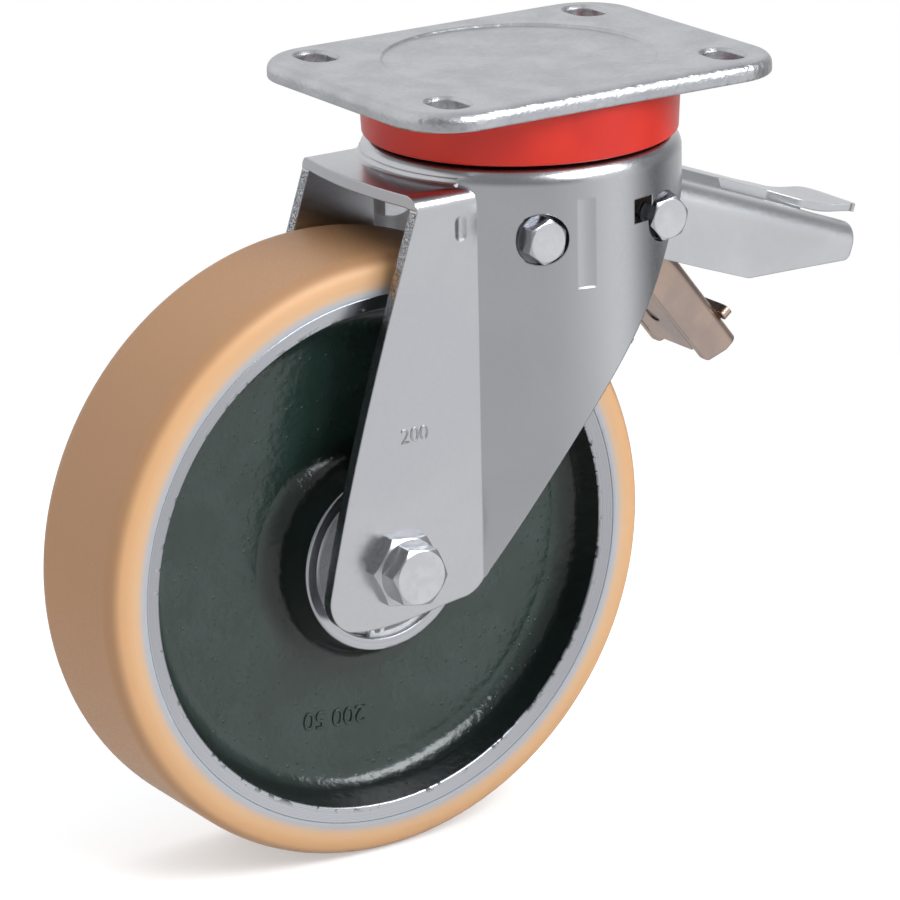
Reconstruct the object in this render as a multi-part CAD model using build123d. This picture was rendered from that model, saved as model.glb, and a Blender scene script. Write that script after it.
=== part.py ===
from build123d import *
import math
import os

# Swivel castor with a 200 mm wheel and a front brake, all in millimetres.
# +Z is up, +X is the way it rolls, and the origin is the middle of the plate's
# top face, on the swivel axis. The near side is -Y.

RUNNING_CLEARANCE = 0.05        # radial, shaft in a hole that turns on it
BALL_CLEARANCE = 0.3            # radial, ball in its groove
FACE_GAP = 0.3                  # between faces that move past each other
CHAMFER_DEG = 30.0              # of a hexagon's turned corners
BEYOND = 400.0                  # past every piece, for cuts and trims

# Plate
PLATE_LENGTH = 140.0
PLATE_WIDTH = 110.0
PLATE_THICKNESS = 6.0
PLATE_CORNER_R = 20.0
PLATE_TOP_ROUND = 3.4
PLATE_BOTTOM_ROUND = 0.8
SLOT_SPACING_X = 105.0
SLOT_SPACING_Y = 77.5
SLOT_WIDTH = 11.0
SLOT_LENGTH = 16.0
SLOT_EDGE_ROUND = 1.0
DISC_R = 44.5
DISC_DEPTH = 0.8

# Swivel bearing
UPPER_PITCH_R = 36.0
UPPER_BALL_R = 6.0
UPPER_BALL_COUNT = 17
UPPER_RACE_INNER_R = 29.0
UPPER_RACE_OUTER_R = 43.0
UPPER_RACE_BOTTOM = -16.0
LOWER_PITCH_R = 26.0
LOWER_BALL_R = 4.0
LOWER_BALL_COUNT = 18
LOWER_BALL_Z = -31.0
LOWER_RACE_R = 31.0
LOWER_RACE_TOP = -34.0
LOWER_RACE_BOTTOM = -38.0
LOCK_TOOTH_COUNT = 24
LOCK_TOOTH_DEPTH = 1.5
LOCK_NOTCH_WIDTH = 3.0
KING_PIN_R = 8.0
KING_PIN_END = -53.5
KING_WASHER_R = 13.0
KING_WASHER_THICKNESS = 2.0
KING_NUT_ACROSS = 24.0
KING_NUT_HEIGHT = 12.0

# Fork, one pressing. Its foot is set out from the axle, and the top of its
# front edge from the rim of the head.
SHEET = 4.0
HEAD_TOP = -24.0
HEAD_R = 52.0
SHOULDER_R = 6.0
HEAD_HOLE_R = 17.0
SHELF_TOP = -30.0
SHELF_REAR_X = -65.3
SHELF_SIDE_X = -61.6
COLLAR_FILLET_R = 2.0
LEG_OUTER_Y = 34.0
LEG_BEND_R = 5.0
REAR_EDGE = [(-72.4, -66.7), (-86.7, -113.7)]
FRONT_EDGE = [(-12.5, -111.3), (-2.3, -97.1)]
FRONT_EDGE_LOW = [(-39.2, -77.1), (-28.3, -60.7), (-23.4, -53.2)]
FRONT_EDGE_HIGH = [(-14.7, -45.7), (-9.8, -41.6), (-6.0, -37.0)]
FOOT_REAR = (-26.9, -5.0)
FOOT_HEEL = (-25.7, -12.4)
FOOT_BOTTOM = [(-19.8, -17.4), (-14.6, -18.2), (10.7, -16.4), (24.0, -14.5)]
FOOT_TOE = (29.1, -11.8)
FOOT_FRONT = [(32.1, -6.8), (40.6, 10.4)]
IMPRINT_TURN_DEG = 10.5
IMPRINT_Z = (-64.0, -35.0)
IMPRINT_DEPTH = 0.35
IMPRINT_R = 20.0
DENT_R = 5.0
DENT_DEPTH = 0.5
DENT_LENGTH = 4.0
DENT_PLACE = (-45.5, -42.5)

# Dust seal, as wide as the head
SEAL_TOP_R = HEAD_R
SEAL_BOTTOM_R = SEAL_TOP_R - 0.9
SEAL_BOTTOM = -23.6
SEAL_WALL = 2.0

# Wheel
WHEEL_R = 100.0
WHEEL_TOP_DROP = 50.0
AXLE_X = -70.0
AXLE_Z = -WHEEL_R - WHEEL_TOP_DROP
TREAD_WIDTH = 50.0
TREAD_EDGE_R = 7.0
TREAD_LIP = 0.8
TREAD_THICKNESS = 12.0
RIM_R = WHEEL_R - TREAD_THICKNESS
RIM_WIDTH = 49.6
RIM_RING_INNER_R = RIM_R - 5.0
RIM_RING_SLOPE = 1.0
RIM_WALL_FOOT_R = RIM_RING_INNER_R - 3.0
WEB_WIDTH = 20.0
HUB_R = 29.9
HUB_FOOT_R = 33.5
HUB_WIDTH = 49.0
WEB_FILLET_R = 8.0
HUB_BORE_R = 26.0
HUB_SHOULDER_R = 23.0

# Wheel bearings, 20 x 52 x 15
BEARING_WIDTH = 15.0
BEARING_FACE_Y = 21.0
BEARING_BORE_R = 10.0
INNER_RING_R = 14.5
OUTER_RING_BORE_R = 21.5
BEARING_PITCH_R = 18.0
BEARING_BALL_R = 4.4
BEARING_BALL_COUNT = 8
SHIELD_THICKNESS = 0.5
SHIELD_INSET = 0.6
SHIELD_CLEARANCE = 0.4
CIRCLIP_THICKNESS = 2.0
CIRCLIP_GROOVE_R = 27.4
CIRCLIP_INNER_R = 24.3
CIRCLIP_GAP_DEG = 28.0
CIRCLIP_LUG_R = 2.6
CIRCLIP_LUG_HOLE_R = 1.2
CIRCLIP_TURN_DEG = 118.0

# Axle
AXLE_TUBE_R = 10.0
AXLE_BOLT_R = 6.0
AXLE_BOLT_CLEARANCE = 0.15
COLLAR_ACROSS = 22.0
COLLAR_THICKNESS = 4.0
COLLAR_TURN_DEG = -5.0
AXLE_HEAD_ACROSS = 18.0
AXLE_HEAD_TURN_DEG = -8.0
AXLE_HEAD_HEIGHT = 7.2
AXLE_WASHER_R = 12.5
AXLE_WASHER_THICKNESS = 2.5
AXLE_NUT_HEIGHT = 10.6
AXLE_BOLT_OUT = 2.0
WHEEL_SPACER_R = 13.4

# Brake bolts
BRAKE_BOLT_INSET = 28.6
BRAKE_BOLT_X = HEAD_R - BRAKE_BOLT_INSET
BRAKE_BOLT_Z = -47.2
BRAKE_BOLT_R = 4.0
BRAKE_TUBE_R = 5.0
BRAKE_HEAD_ACROSS = 13.0
BRAKE_HEAD_HEIGHT = 5.3
BRAKE_NUT_HEIGHT = 6.5
BRAKE_BOLT_OUT = 1.8
ANCHOR_HEAD_TURN_DEG = 21.0
PIVOT_HEAD_TURN_DEG = 10.0
BRAKE_WASHER_R = 8.0
BRAKE_WASHER_THICKNESS = 1.4
SEAT_DEPTH = 2.9
SEAT_Y = math.sqrt(HEAD_R ** 2 - BRAKE_BOLT_X ** 2) - SEAT_DEPTH
SEAT_R = BRAKE_WASHER_R + 0.15
SEAT_WALL = 3.0
WINDOW_X = (8.8, 17.0)
WINDOW_Z = (-46.4, -38.5)
TUBE_SEAT_R = 6.5
TUBE_END_GAP = 0.1
TUBE_SEAT_Y = math.sqrt((HEAD_R - SHEET) ** 2 - (BRAKE_BOLT_X + BRAKE_TUBE_R) ** 2) - TUBE_END_GAP
SPACER_R = 7.0
SPACER_END_GAP = 0.45
SPACER_END_Y = math.sqrt((HEAD_R - SHEET) ** 2 - (BRAKE_BOLT_X + SPACER_R) ** 2) - SPACER_END_GAP

# Pedal, in its own slope frame: u along it from the pivot, w square to it
PEDAL_SLOPE_DEG = 20.6
PEDAL_SHEET = 3.0
PEDAL_HALF_WIDTH = 25.0
PEDAL_BEND_R = 7.5
PEDAL_WEB_W = 10.9
RIDGE_W = 14.2
RIDGE_HALF_WIDTH = 9.5
RIDGE_FOOT = 13.0
RIDGE_BEND_R = 1.5
WEB_START_U = 13.0
CHANNEL_END_U = 97.5
FLANGE_LOWER = [(97.5, -0.8), (78.5, -7.5), (58.5, -14.7), (37.6, -15.0), (22.6, -15.0)]
SLOT_START_U = 46.5
NECK_HALF_WIDTH = 8.0
NECK_END_U = 66.5
PAD_WIDE_U = 79.5
PAD_RISE_U = 84.5
PAD_CREST_U = 102.5
PAD_END_U = 112.8
PAD_W = 17.1
PAD_END_W = 16.3
PAD_HALF_WIDTH = 14.0
PAD_NOSE_LENGTH = 11.0
PAD_NOSE_HALF_WIDTH = 2.5
PAD_THICKNESS = 2.6
PAD_NECK_BEND_R = 8.0
SLOT_GAP = 1.0
PIVOT_BOSS_R = 8.4
BRAKE_SWING_DEG = 29.8
LOCK_ARM_END_X = 5.0
LOCK_ARM_DEPTH = 11.0
ARM_KNEE = (6.5, -12.6)

# Brake lever, in its own frame: s along it from the pivot, n square to it
LEVER_SLOPE_DEG = 52.3
LEVER_SHEET = 2.5
LEVER_HALF_WIDTH = 15.0
LEVER_BEND_R = 3.5
LEVER_WEB_N = 6.6
LEVER_FLANGE_N = -7.6
LEVER_END_S = 77.4
LEVER_CORNER_S = 74.7
LEVER_CORNER_R = 2.5
LEVER_WEB_START_S = 19.2
SHOE_THICKNESS = 3.0
SHOE_START_S = 34.2
SHOE_END_S = 70.2
SHOE_SIDE_GAP = 0.8
SHOE_CORNER_R = 1.5
RIVET_R = 3.0
RIVET_SLEEVE_R = 4.5
RIVET_HEAD_R = 5.5
RIVET_HEAD_HEIGHT = 2.0
RIVET_PLACES = (42.2, 56.2)
LIP_START_S = 64.7
LIP_END_S = 68.7
LIP_THICKNESS = 3.0
LIP_SINK = 0.2
LIP_HALF_WIDTH = 16.5


def rounded(corners):
    """Flat face through (u, v, corner radius) points."""
    edges = []
    ends = []
    count = len(corners)
    for i, (u, v, radius) in enumerate(corners):
        here = Vector(u, v, 0)
        back = (Vector(*corners[i - 1][:2], 0) - here).normalized()
        ahead = (Vector(*corners[(i + 1) % count][:2], 0) - here).normalized()
        if radius == 0:
            ends.append((here, here))
            continue
        half = math.acos(max(-1.0, min(1.0, back.dot(ahead)))) / 2
        reach = radius / math.tan(half)
        middle = (back + ahead).normalized() * (radius / math.sin(half) - radius)
        start = here + back * reach
        end = here + ahead * reach
        edges.append(ThreePointArc(start, here + middle, end))
        ends.append((start, end))
    for i in range(count):
        start = ends[i][1]
        end = ends[(i + 1) % count][0]
        if (end - start).length > 1e-6:
            edges.append(Line(start, end))
    return Face(Wire(edges))


def sharp(points):
    """Flat face with square corners."""
    return rounded([(u, v, 0) for u, v in points])


def turned(corners):
    """Solid of revolution about Z from (radius, z, corner radius) points."""
    return revolve(Plane.XZ * rounded(corners), Axis.Z, 360)


def turned_on_y(corners):
    """Solid of revolution about Y from (radius, y, corner radius) points."""
    return revolve(rounded(corners), Axis.Y, 360)


def plate_on_xz(face, low_y, high_y):
    """Flat XZ shape given thickness along Y."""
    return extrude(Pos(0, low_y, 0) * (Plane.XZ * face), high_y - low_y, dir=(0, 1, 0))


def raised(face, height):
    """Flat XY shape given height upwards."""
    return extrude(face, height, dir=(0, 0, 1))


def ring_on_y(inner_r, outer_r, low_y, high_y):
    """Tube along Y."""
    corners = [(inner_r, low_y), (outer_r, low_y), (outer_r, high_y), (inner_r, high_y)]
    return revolve(sharp(corners), Axis.Y, 360)


def rod_on_y(radius, low_y, high_y):
    """Round bar along Y."""
    return Rot(-90, 0, 0) * Pos(0, 0, low_y) * Cylinder(
        radius, high_y - low_y, align=(Align.CENTER, Align.CENTER, Align.MIN))


def hexagon_prism(across, height):
    """Hexagon bar standing on z = 0, with its corners turned off at the top."""
    corner_r = across / math.sqrt(3)
    bar = raised(RegularPolygon(corner_r, 6), height)
    crown = corner_r - across / 2 * 0.96
    shoulder = height - crown * math.tan(math.radians(CHAMFER_DEG))
    crowned = sharp([(0, 0), (corner_r, 0), (corner_r, shoulder), (corner_r - crown, height), (0, height)])
    return bar & revolve(Plane.XZ * crowned, Axis.Z, 360)


def hexagon_on_y(across, start_y, height, direction, turn_deg=0.0):
    """Hexagon along Y from start_y, growing the way direction points (-1 or 1)."""
    prism = Rot(0, 0, turn_deg) * hexagon_prism(across, height)
    return Pos(0, start_y, 0) * Rot(-90 * direction, 0, 0) * prism


def ball_row(radius, pitch_r, count, height):
    """Balls spread round the Z axis, as separate solids."""
    balls = []
    for i in range(count):
        angle = 2 * math.pi * i / count
        balls.append(Pos(pitch_r * math.cos(angle), pitch_r * math.sin(angle), height) * Sphere(radius))
    return Compound(balls)


def at_axle(shape):
    return Pos(AXLE_X, 0, AXLE_Z) * shape


def at_pivot(shape):
    return Pos(BRAKE_BOLT_X, 0, BRAKE_BOLT_Z) * shape


def at_anchor(shape):
    return Pos(-BRAKE_BOLT_X, 0, BRAKE_BOLT_Z) * shape


# ---------------------------------------------------------------- plate side

def slot_cut():
    """Bolt slot along Y with a rounded upper edge."""
    tall = extrude(SlotOverall(SLOT_LENGTH, SLOT_WIDTH, rotation=90), PLATE_THICKNESS * 2)
    body = Pos(0, 0, -PLATE_THICKNESS * 1.5) * tall
    flare = extrude(
        SlotOverall(SLOT_LENGTH + 2 * SLOT_EDGE_ROUND, SLOT_WIDTH + 2 * SLOT_EDGE_ROUND, rotation=90),
        -SLOT_EDGE_ROUND, taper=45)
    return body + flare


def make_top_plate():
    """Plate, upper raceway and king pin, forged in one."""
    plate = extrude(RectangleRounded(PLATE_LENGTH, PLATE_WIDTH, PLATE_CORNER_R), -PLATE_THICKNESS)
    plate = fillet(plate.faces().sort_by(Axis.Z)[-1].edges(), PLATE_TOP_ROUND)
    plate = fillet(plate.faces().sort_by(Axis.Z)[0].edges(), PLATE_BOTTOM_ROUND)
    plate -= turned([
        (0, -DISC_DEPTH, 0), (DISC_R - DISC_DEPTH, -DISC_DEPTH, 0), (DISC_R, 0, 0),
        (DISC_R, 1, 0), (0, 1, 0)])
    plate += turned([
        (UPPER_RACE_INNER_R, -PLATE_THICKNESS + 1, 0), (UPPER_RACE_OUTER_R, -PLATE_THICKNESS + 1, 0),
        (UPPER_RACE_OUTER_R, UPPER_RACE_BOTTOM, 1), (UPPER_RACE_INNER_R, UPPER_RACE_BOTTOM, 1)])
    plate -= Pos(0, 0, upper_ball_z()) * Torus(UPPER_PITCH_R, UPPER_BALL_R + BALL_CLEARANCE)
    plate += turned([
        (0, -PLATE_THICKNESS + 1, 0), (KING_PIN_R + 3, -PLATE_THICKNESS + 1, 0),
        (KING_PIN_R + 3, -PLATE_THICKNESS, 0),
        (KING_PIN_R, -PLATE_THICKNESS - 3, 2), (KING_PIN_R, KING_PIN_END, 1), (0, KING_PIN_END, 0)])
    for x in (-SLOT_SPACING_X / 2, SLOT_SPACING_X / 2):
        for y in (-SLOT_SPACING_Y / 2, SLOT_SPACING_Y / 2):
            plate -= Pos(x, y, 0) * slot_cut()
    return plate


def upper_ball_z():
    """Balls stand midway between the plate's race and the fork head."""
    return (UPPER_RACE_BOTTOM + HEAD_TOP) / 2


def make_dust_seal():
    """Plastic ring over the upper balls, pushed on to the race."""
    top = -PLATE_THICKNESS - FACE_GAP
    return turned([
        (UPPER_RACE_OUTER_R, top, 0), (SEAL_TOP_R, top, 0.6), (SEAL_BOTTOM_R, SEAL_BOTTOM, 0.8),
        (SEAL_BOTTOM_R - SEAL_WALL, SEAL_BOTTOM, 0.8), (SEAL_TOP_R - SEAL_WALL, top - SEAL_WALL, 1),
        (UPPER_RACE_OUTER_R, top - SEAL_WALL, 0)])


def make_lower_race():
    """Ring under the small balls, toothed beneath for the swivel lock."""
    ring = turned([
        (KING_PIN_R + RUNNING_CLEARANCE, LOWER_RACE_BOTTOM, 0), (LOWER_RACE_R, LOWER_RACE_BOTTOM, 0),
        (LOWER_RACE_R, LOWER_RACE_TOP, 0.6), (KING_PIN_R + RUNNING_CLEARANCE, LOWER_RACE_TOP, 0)])
    ring -= Pos(0, 0, LOWER_BALL_Z) * Torus(LOWER_PITCH_R, LOWER_BALL_R + BALL_CLEARANCE)
    notch_length = LOWER_RACE_R - KING_WASHER_R - 5
    notch = Box(notch_length, LOCK_NOTCH_WIDTH, LOCK_TOOTH_DEPTH * 2)
    for i in range(LOCK_TOOTH_COUNT):
        turn = Rot(0, 0, 360 / LOCK_TOOTH_COUNT * i)
        ring -= turn * Pos(LOWER_RACE_R - notch_length / 2 + 1, 0, LOWER_RACE_BOTTOM) * notch
    return ring


def make_king_pin_washer():
    low = LOWER_RACE_BOTTOM - KING_WASHER_THICKNESS
    bore = KING_PIN_R + RUNNING_CLEARANCE
    return turned([
        (bore, low, 0), (KING_WASHER_R, low, 0.4),
        (KING_WASHER_R, LOWER_RACE_BOTTOM, 0), (bore, LOWER_RACE_BOTTOM, 0)])


def make_king_pin_nut():
    nut = hexagon_prism(KING_NUT_ACROSS, KING_NUT_HEIGHT)
    nut -= Cylinder(KING_PIN_R + RUNNING_CLEARANCE, KING_NUT_HEIGHT * 3)
    return Pos(0, 0, LOWER_RACE_BOTTOM - KING_WASHER_THICKNESS) * Rot(180, 0, 0) * nut


# ---------------------------------------------------------------- fork

def from_axle(points):
    """Points of the side view set out from the axle."""
    return [(AXLE_X + x, AXLE_Z + z) for x, z in points]


def side_outline():
    """Outline of the fork seen from the side, as one XZ face."""
    shelf_end = (SHELF_SIDE_X, SHELF_TOP - SHEET - 0.3)
    rear_points = [shelf_end] + REAR_EDGE + from_axle([FOOT_REAR])
    high_points = [(HEAD_R + x, z) for x, z in FRONT_EDGE_LOW + FRONT_EDGE_HIGH]
    front_points = from_axle(FOOT_FRONT) + FRONT_EDGE + high_points
    bottom_points = from_axle(FOOT_BOTTOM)
    rear = Spline(*[Vector(x, z) for x, z in rear_points])
    bottom = Spline(*[Vector(x, z) for x, z in bottom_points])
    front = Spline(*[Vector(x, z) for x, z in front_points])
    heel = ThreePointArc(rear_points[-1], *from_axle([FOOT_HEEL]), bottom_points[0])
    toe = ThreePointArc(bottom_points[-1], *from_axle([FOOT_TOE]), front_points[0])
    last = front_points[-1]
    past = SHELF_REAR_X - 2
    over = [last, (last[0], HEAD_TOP), (past, HEAD_TOP), (past, shelf_end[1]), shelf_end]
    lines = [Line(over[i], over[i + 1]) for i in range(len(over) - 1)]
    return Face(Wire([rear, heel, bottom, toe, front] + lines))


def leg_channel():
    """Shelf and flat legs: an upturned U along X."""
    outer = LEG_OUTER_Y
    inner = outer - SHEET
    foot = -BEYOND
    under = SHELF_TOP - SHEET
    section = rounded([
        (-outer, foot, 0), (-inner, foot, 0), (-inner, under, 1), (inner, under, 1), (inner, foot, 0),
        (outer, foot, 0), (outer, SHELF_TOP, LEG_BEND_R), (-outer, SHELF_TOP, LEG_BEND_R)])
    return extrude(Pos(crease_x(), 0, 0) * (Plane.YZ * section), BEYOND, dir=(-1, 0, 0))


def crease_x():
    """Where the flat legs meet the round skirt."""
    return -math.sqrt(HEAD_R ** 2 - LEG_OUTER_Y ** 2)


def skirt_walls():
    """Round walls below the head, forward of the crease."""
    hang = (Align.CENTER, Align.CENTER, Align.MAX)
    band = Cylinder(HEAD_R, BEYOND, align=hang) - Cylinder(HEAD_R - SHEET, BEYOND, align=hang)
    band = Pos(0, 0, SHELF_TOP) * band
    rear_limit = crease_x() - SHEET
    keep = Box(HEAD_R * 2, HEAD_R * 2, BEYOND, align=(Align.MIN, Align.CENTER, Align.MAX))
    middle = Box(-rear_limit, 2 * (LEG_OUTER_Y - SHEET), BEYOND, align=(Align.MIN, Align.CENTER, Align.MAX))
    return (band & Pos(rear_limit, 0, 0) * keep) - Pos(rear_limit, 0, 0) * middle


def head_shell():
    """Raised round head with its shoulder, open in the middle."""
    return turned([
        (HEAD_HOLE_R, HEAD_TOP, 0.6), (HEAD_R, HEAD_TOP, SHOULDER_R), (HEAD_R, SHELF_TOP - SHEET, 0),
        (HEAD_R - SHEET, SHELF_TOP - SHEET, 0), (HEAD_R - SHEET, HEAD_TOP - SHEET, SHOULDER_R - SHEET),
        (HEAD_HOLE_R, HEAD_TOP - SHEET, 0.6)])


def collar_fillet():
    """Rounded corner between the head's wall and the shelf."""
    r = COLLAR_FILLET_R
    z = SHELF_TOP
    mid = r * (1 - math.sqrt(0.5))
    corner = Face(Wire([
        Line((HEAD_R - 1, z - 1), (HEAD_R + r, z - 1)), Line((HEAD_R + r, z - 1), (HEAD_R + r, z)),
        ThreePointArc((HEAD_R + r, z), (HEAD_R + mid, z + mid), (HEAD_R, z + r)),
        Line((HEAD_R, z + r), (HEAD_R - 1, z + r)), Line((HEAD_R - 1, z + r), (HEAD_R - 1, z - 1))]))
    ring = revolve(Plane.XZ * corner, Axis.Z, 360)
    flat_y = LEG_OUTER_Y - LEG_BEND_R
    return ring & Box(2 * HEAD_R, 2 * flat_y, BEYOND, align=(Align.MAX, Align.CENTER, Align.CENTER))


def shelf_rear_cut():
    """Trims the shelf's rear edge to a shallow curve."""
    x_mid = SHELF_REAR_X
    x_end = SHELF_SIDE_X
    wide = LEG_OUTER_Y + 1
    face = Face(Wire([
        ThreePointArc((x_end, -wide), (x_mid, 0), (x_end, wide)), Line((x_end, wide), (-BEYOND, wide)),
        Line((-BEYOND, wide), (-BEYOND, -wide)), Line((-BEYOND, -wide), (x_end, -wide))]))
    low = SHELF_TOP - SHEET - 0.3
    return Pos(0, 0, low) * raised(face, BEYOND)


def bolt_seat(x, side):
    """Cup pressed into the round wall for a brake bolt: (material, cut)."""
    past_wall = side * (HEAD_R + SEAT_WALL)
    cup = rod_on_y(SEAT_R + SEAT_WALL, *sorted((side * (SEAT_Y - SHEET), past_wall)))
    cup += rod_on_y(TUBE_SEAT_R, *sorted((side * TUBE_SEAT_Y, side * SEAT_Y)))
    cut = rod_on_y(SEAT_R, *sorted((side * SEAT_Y, past_wall)))
    place = Pos(x, 0, BRAKE_BOLT_Z)
    return (place * cup) & Cylinder(HEAD_R, BEYOND), place * cut


def window_cut(side):
    """Notch beside the pivot bolt, above the seat's floor."""
    depth = HEAD_R - SEAT_Y + SHEET
    window = Box(WINDOW_X[1] - WINDOW_X[0], depth, WINDOW_Z[1] - WINDOW_Z[0], align=Align.MIN)
    return Pos(WINDOW_X[0], min(side * HEAD_R, side * (HEAD_R - depth)), WINDOW_Z[0]) * window


def imprint_cut(side):
    """Shallow upright groove pressed into the round wall."""
    low, high = IMPRINT_Z
    reach = HEAD_R + IMPRINT_R - IMPRINT_DEPTH
    angle = math.radians(IMPRINT_TURN_DEG)
    place = Pos(-reach * math.sin(angle), side * reach * math.cos(angle), low)
    return place * Cylinder(IMPRINT_R, high - low, align=(Align.CENTER, Align.CENTER, Align.MIN))


def dent_cut(side):
    """Long dent at the top of a leg, beside the crease."""
    centre = side * (LEG_OUTER_Y + DENT_R - DENT_DEPTH)
    bar = Cylinder(DENT_R, DENT_LENGTH)
    for end in (-DENT_LENGTH / 2, DENT_LENGTH / 2):
        bar += Pos(0, 0, end) * Sphere(DENT_R)
    return Pos(DENT_PLACE[0], centre, DENT_PLACE[1]) * bar


def make_fork():
    """Head, shelf, round skirt and both legs from one 4 mm sheet."""
    outline = plate_on_xz(side_outline(), -HEAD_R - 2, HEAD_R + 2)
    channel = leg_channel() - Cylinder(HEAD_R - SHEET, 2 * (SHEET - SHELF_TOP))
    body = (channel + skirt_walls()) & outline
    body -= shelf_rear_cut()
    body += head_shell()
    body += collar_fillet()
    body -= Pos(0, 0, upper_ball_z()) * Torus(UPPER_PITCH_R, UPPER_BALL_R + BALL_CLEARANCE)
    body -= Pos(0, 0, LOWER_BALL_Z) * Torus(LOWER_PITCH_R, LOWER_BALL_R + BALL_CLEARANCE)
    seats = [bolt_seat(x, side) for x in (-BRAKE_BOLT_X, BRAKE_BOLT_X) for side in (-1, 1)]
    for cup, _ in seats:
        body += cup & outline
    for _, cut in seats:
        body -= cut
    body -= at_axle(rod_on_y(AXLE_TUBE_R + RUNNING_CLEARANCE, -BEYOND, BEYOND))
    bolt_hole = rod_on_y(BRAKE_BOLT_R + RUNNING_CLEARANCE, -BEYOND, BEYOND)
    body -= at_pivot(bolt_hole)
    body -= at_anchor(bolt_hole)
    for side in (-1, 1):
        body -= window_cut(side)
        body -= imprint_cut(side)
        body -= dent_cut(side)
    return body


# ---------------------------------------------------------------- brake bolts

def brake_bolt(turn_deg):
    """M8 bolt through both walls, head on the near side."""
    under_head = SEAT_Y + BRAKE_WASHER_THICKNESS
    end = SEAT_Y + BRAKE_WASHER_THICKNESS + BRAKE_NUT_HEIGHT + BRAKE_BOLT_OUT
    shank = rod_on_y(BRAKE_BOLT_R, -under_head - 1, end)
    return shank + hexagon_on_y(BRAKE_HEAD_ACROSS, -under_head, BRAKE_HEAD_HEIGHT, -1, turn_deg)


def make_brake_nuts():
    nut = hexagon_on_y(BRAKE_HEAD_ACROSS, SEAT_Y + BRAKE_WASHER_THICKNESS, BRAKE_NUT_HEIGHT, 1)
    nut -= rod_on_y(BRAKE_BOLT_R + RUNNING_CLEARANCE, 0, BEYOND)
    return Compound([at_anchor(nut), at_pivot(nut)])


def make_brake_washers():
    washers = []
    for side in (-1, 1):
        low, high = sorted((side * SEAT_Y, side * (SEAT_Y + BRAKE_WASHER_THICKNESS)))
        ring = ring_on_y(BRAKE_BOLT_R + RUNNING_CLEARANCE, BRAKE_WASHER_R, low, high)
        washers += [at_anchor(ring), at_pivot(ring)]
    return Compound(washers)


def brake_tube():
    """Tube between the walls that keeps them apart."""
    return ring_on_y(BRAKE_BOLT_R + RUNNING_CLEARANCE, BRAKE_TUBE_R, -TUBE_SEAT_Y, TUBE_SEAT_Y)


def pivot_spacers(low, high):
    """Pair of rings on the pivot tube, one each side."""
    bore = BRAKE_TUBE_R + RUNNING_CLEARANCE
    near = ring_on_y(bore, SPACER_R, -high, -low)
    far = ring_on_y(bore, SPACER_R, low, high)
    return Compound([at_pivot(near), at_pivot(far)])


# ---------------------------------------------------------------- axle

def make_axle_tube():
    """Tube through both legs with a hexagon collar at its near end."""
    bore = AXLE_BOLT_R + AXLE_BOLT_CLEARANCE
    collar_out = LEG_OUTER_Y + COLLAR_THICKNESS
    tube = rod_on_y(AXLE_TUBE_R, -LEG_OUTER_Y - 1, LEG_OUTER_Y - 0.5)
    tube += hexagon_on_y(COLLAR_ACROSS, -LEG_OUTER_Y, COLLAR_THICKNESS, -1, COLLAR_TURN_DEG)
    tube -= rod_on_y(bore, -collar_out - 1, LEG_OUTER_Y + 1)
    return at_axle(tube)


def make_axle_bolt():
    """M12 bolt through the axle tube."""
    under_head = LEG_OUTER_Y + COLLAR_THICKNESS
    end = LEG_OUTER_Y + AXLE_WASHER_THICKNESS + AXLE_NUT_HEIGHT + AXLE_BOLT_OUT
    bolt = rod_on_y(AXLE_BOLT_R, -under_head - 1, end)
    bolt += hexagon_on_y(AXLE_HEAD_ACROSS, -under_head, AXLE_HEAD_HEIGHT, -1, AXLE_HEAD_TURN_DEG)
    return at_axle(bolt)


def make_axle_washer():
    bore = AXLE_BOLT_R + AXLE_BOLT_CLEARANCE
    return at_axle(ring_on_y(bore, AXLE_WASHER_R, LEG_OUTER_Y, LEG_OUTER_Y + AXLE_WASHER_THICKNESS))


def make_axle_nut():
    nut = hexagon_on_y(AXLE_HEAD_ACROSS, LEG_OUTER_Y + AXLE_WASHER_THICKNESS, AXLE_NUT_HEIGHT, 1)
    return at_axle(nut - rod_on_y(AXLE_BOLT_R + RUNNING_CLEARANCE, 0, BEYOND))


def wheel_spacer(side):
    """Ring between a leg and the bearing's inner ring."""
    low, high = sorted((side * BEARING_FACE_Y, side * (LEG_OUTER_Y - SHEET)))
    return at_axle(ring_on_y(AXLE_TUBE_R + RUNNING_CLEARANCE, WHEEL_SPACER_R, low, high))


# ---------------------------------------------------------------- wheel

def make_wheel_centre():
    """Cast-iron centre: hub, solid web and rim."""
    hub_y = HUB_WIDTH / 2
    web_y = WEB_WIDTH / 2
    rim_y = RIM_WIDTH / 2
    ring_y = rim_y - RIM_RING_SLOPE
    shoulder_y = BEARING_FACE_Y - BEARING_WIDTH
    half = [
        (HUB_SHOULDER_R, shoulder_y, 0), (HUB_BORE_R, shoulder_y, 0), (HUB_BORE_R, hub_y, 0.6),
        (HUB_R, hub_y, 0.8), (HUB_FOOT_R, web_y, WEB_FILLET_R), (RIM_WALL_FOOT_R, web_y, WEB_FILLET_R),
        (RIM_RING_INNER_R, ring_y, 0.5), (RIM_R, rim_y, 0.3)]
    other = [(r, -y, radius) for r, y, radius in reversed(half)]
    centre = turned_on_y(half + other)
    for side in (-1, 1):
        low, high = sorted((side * BEARING_FACE_Y, side * (BEARING_FACE_Y + CIRCLIP_THICKNESS + 0.1)))
        centre -= rod_on_y(CIRCLIP_GROOVE_R + 0.1, low, high)
    return at_axle(centre)


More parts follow.
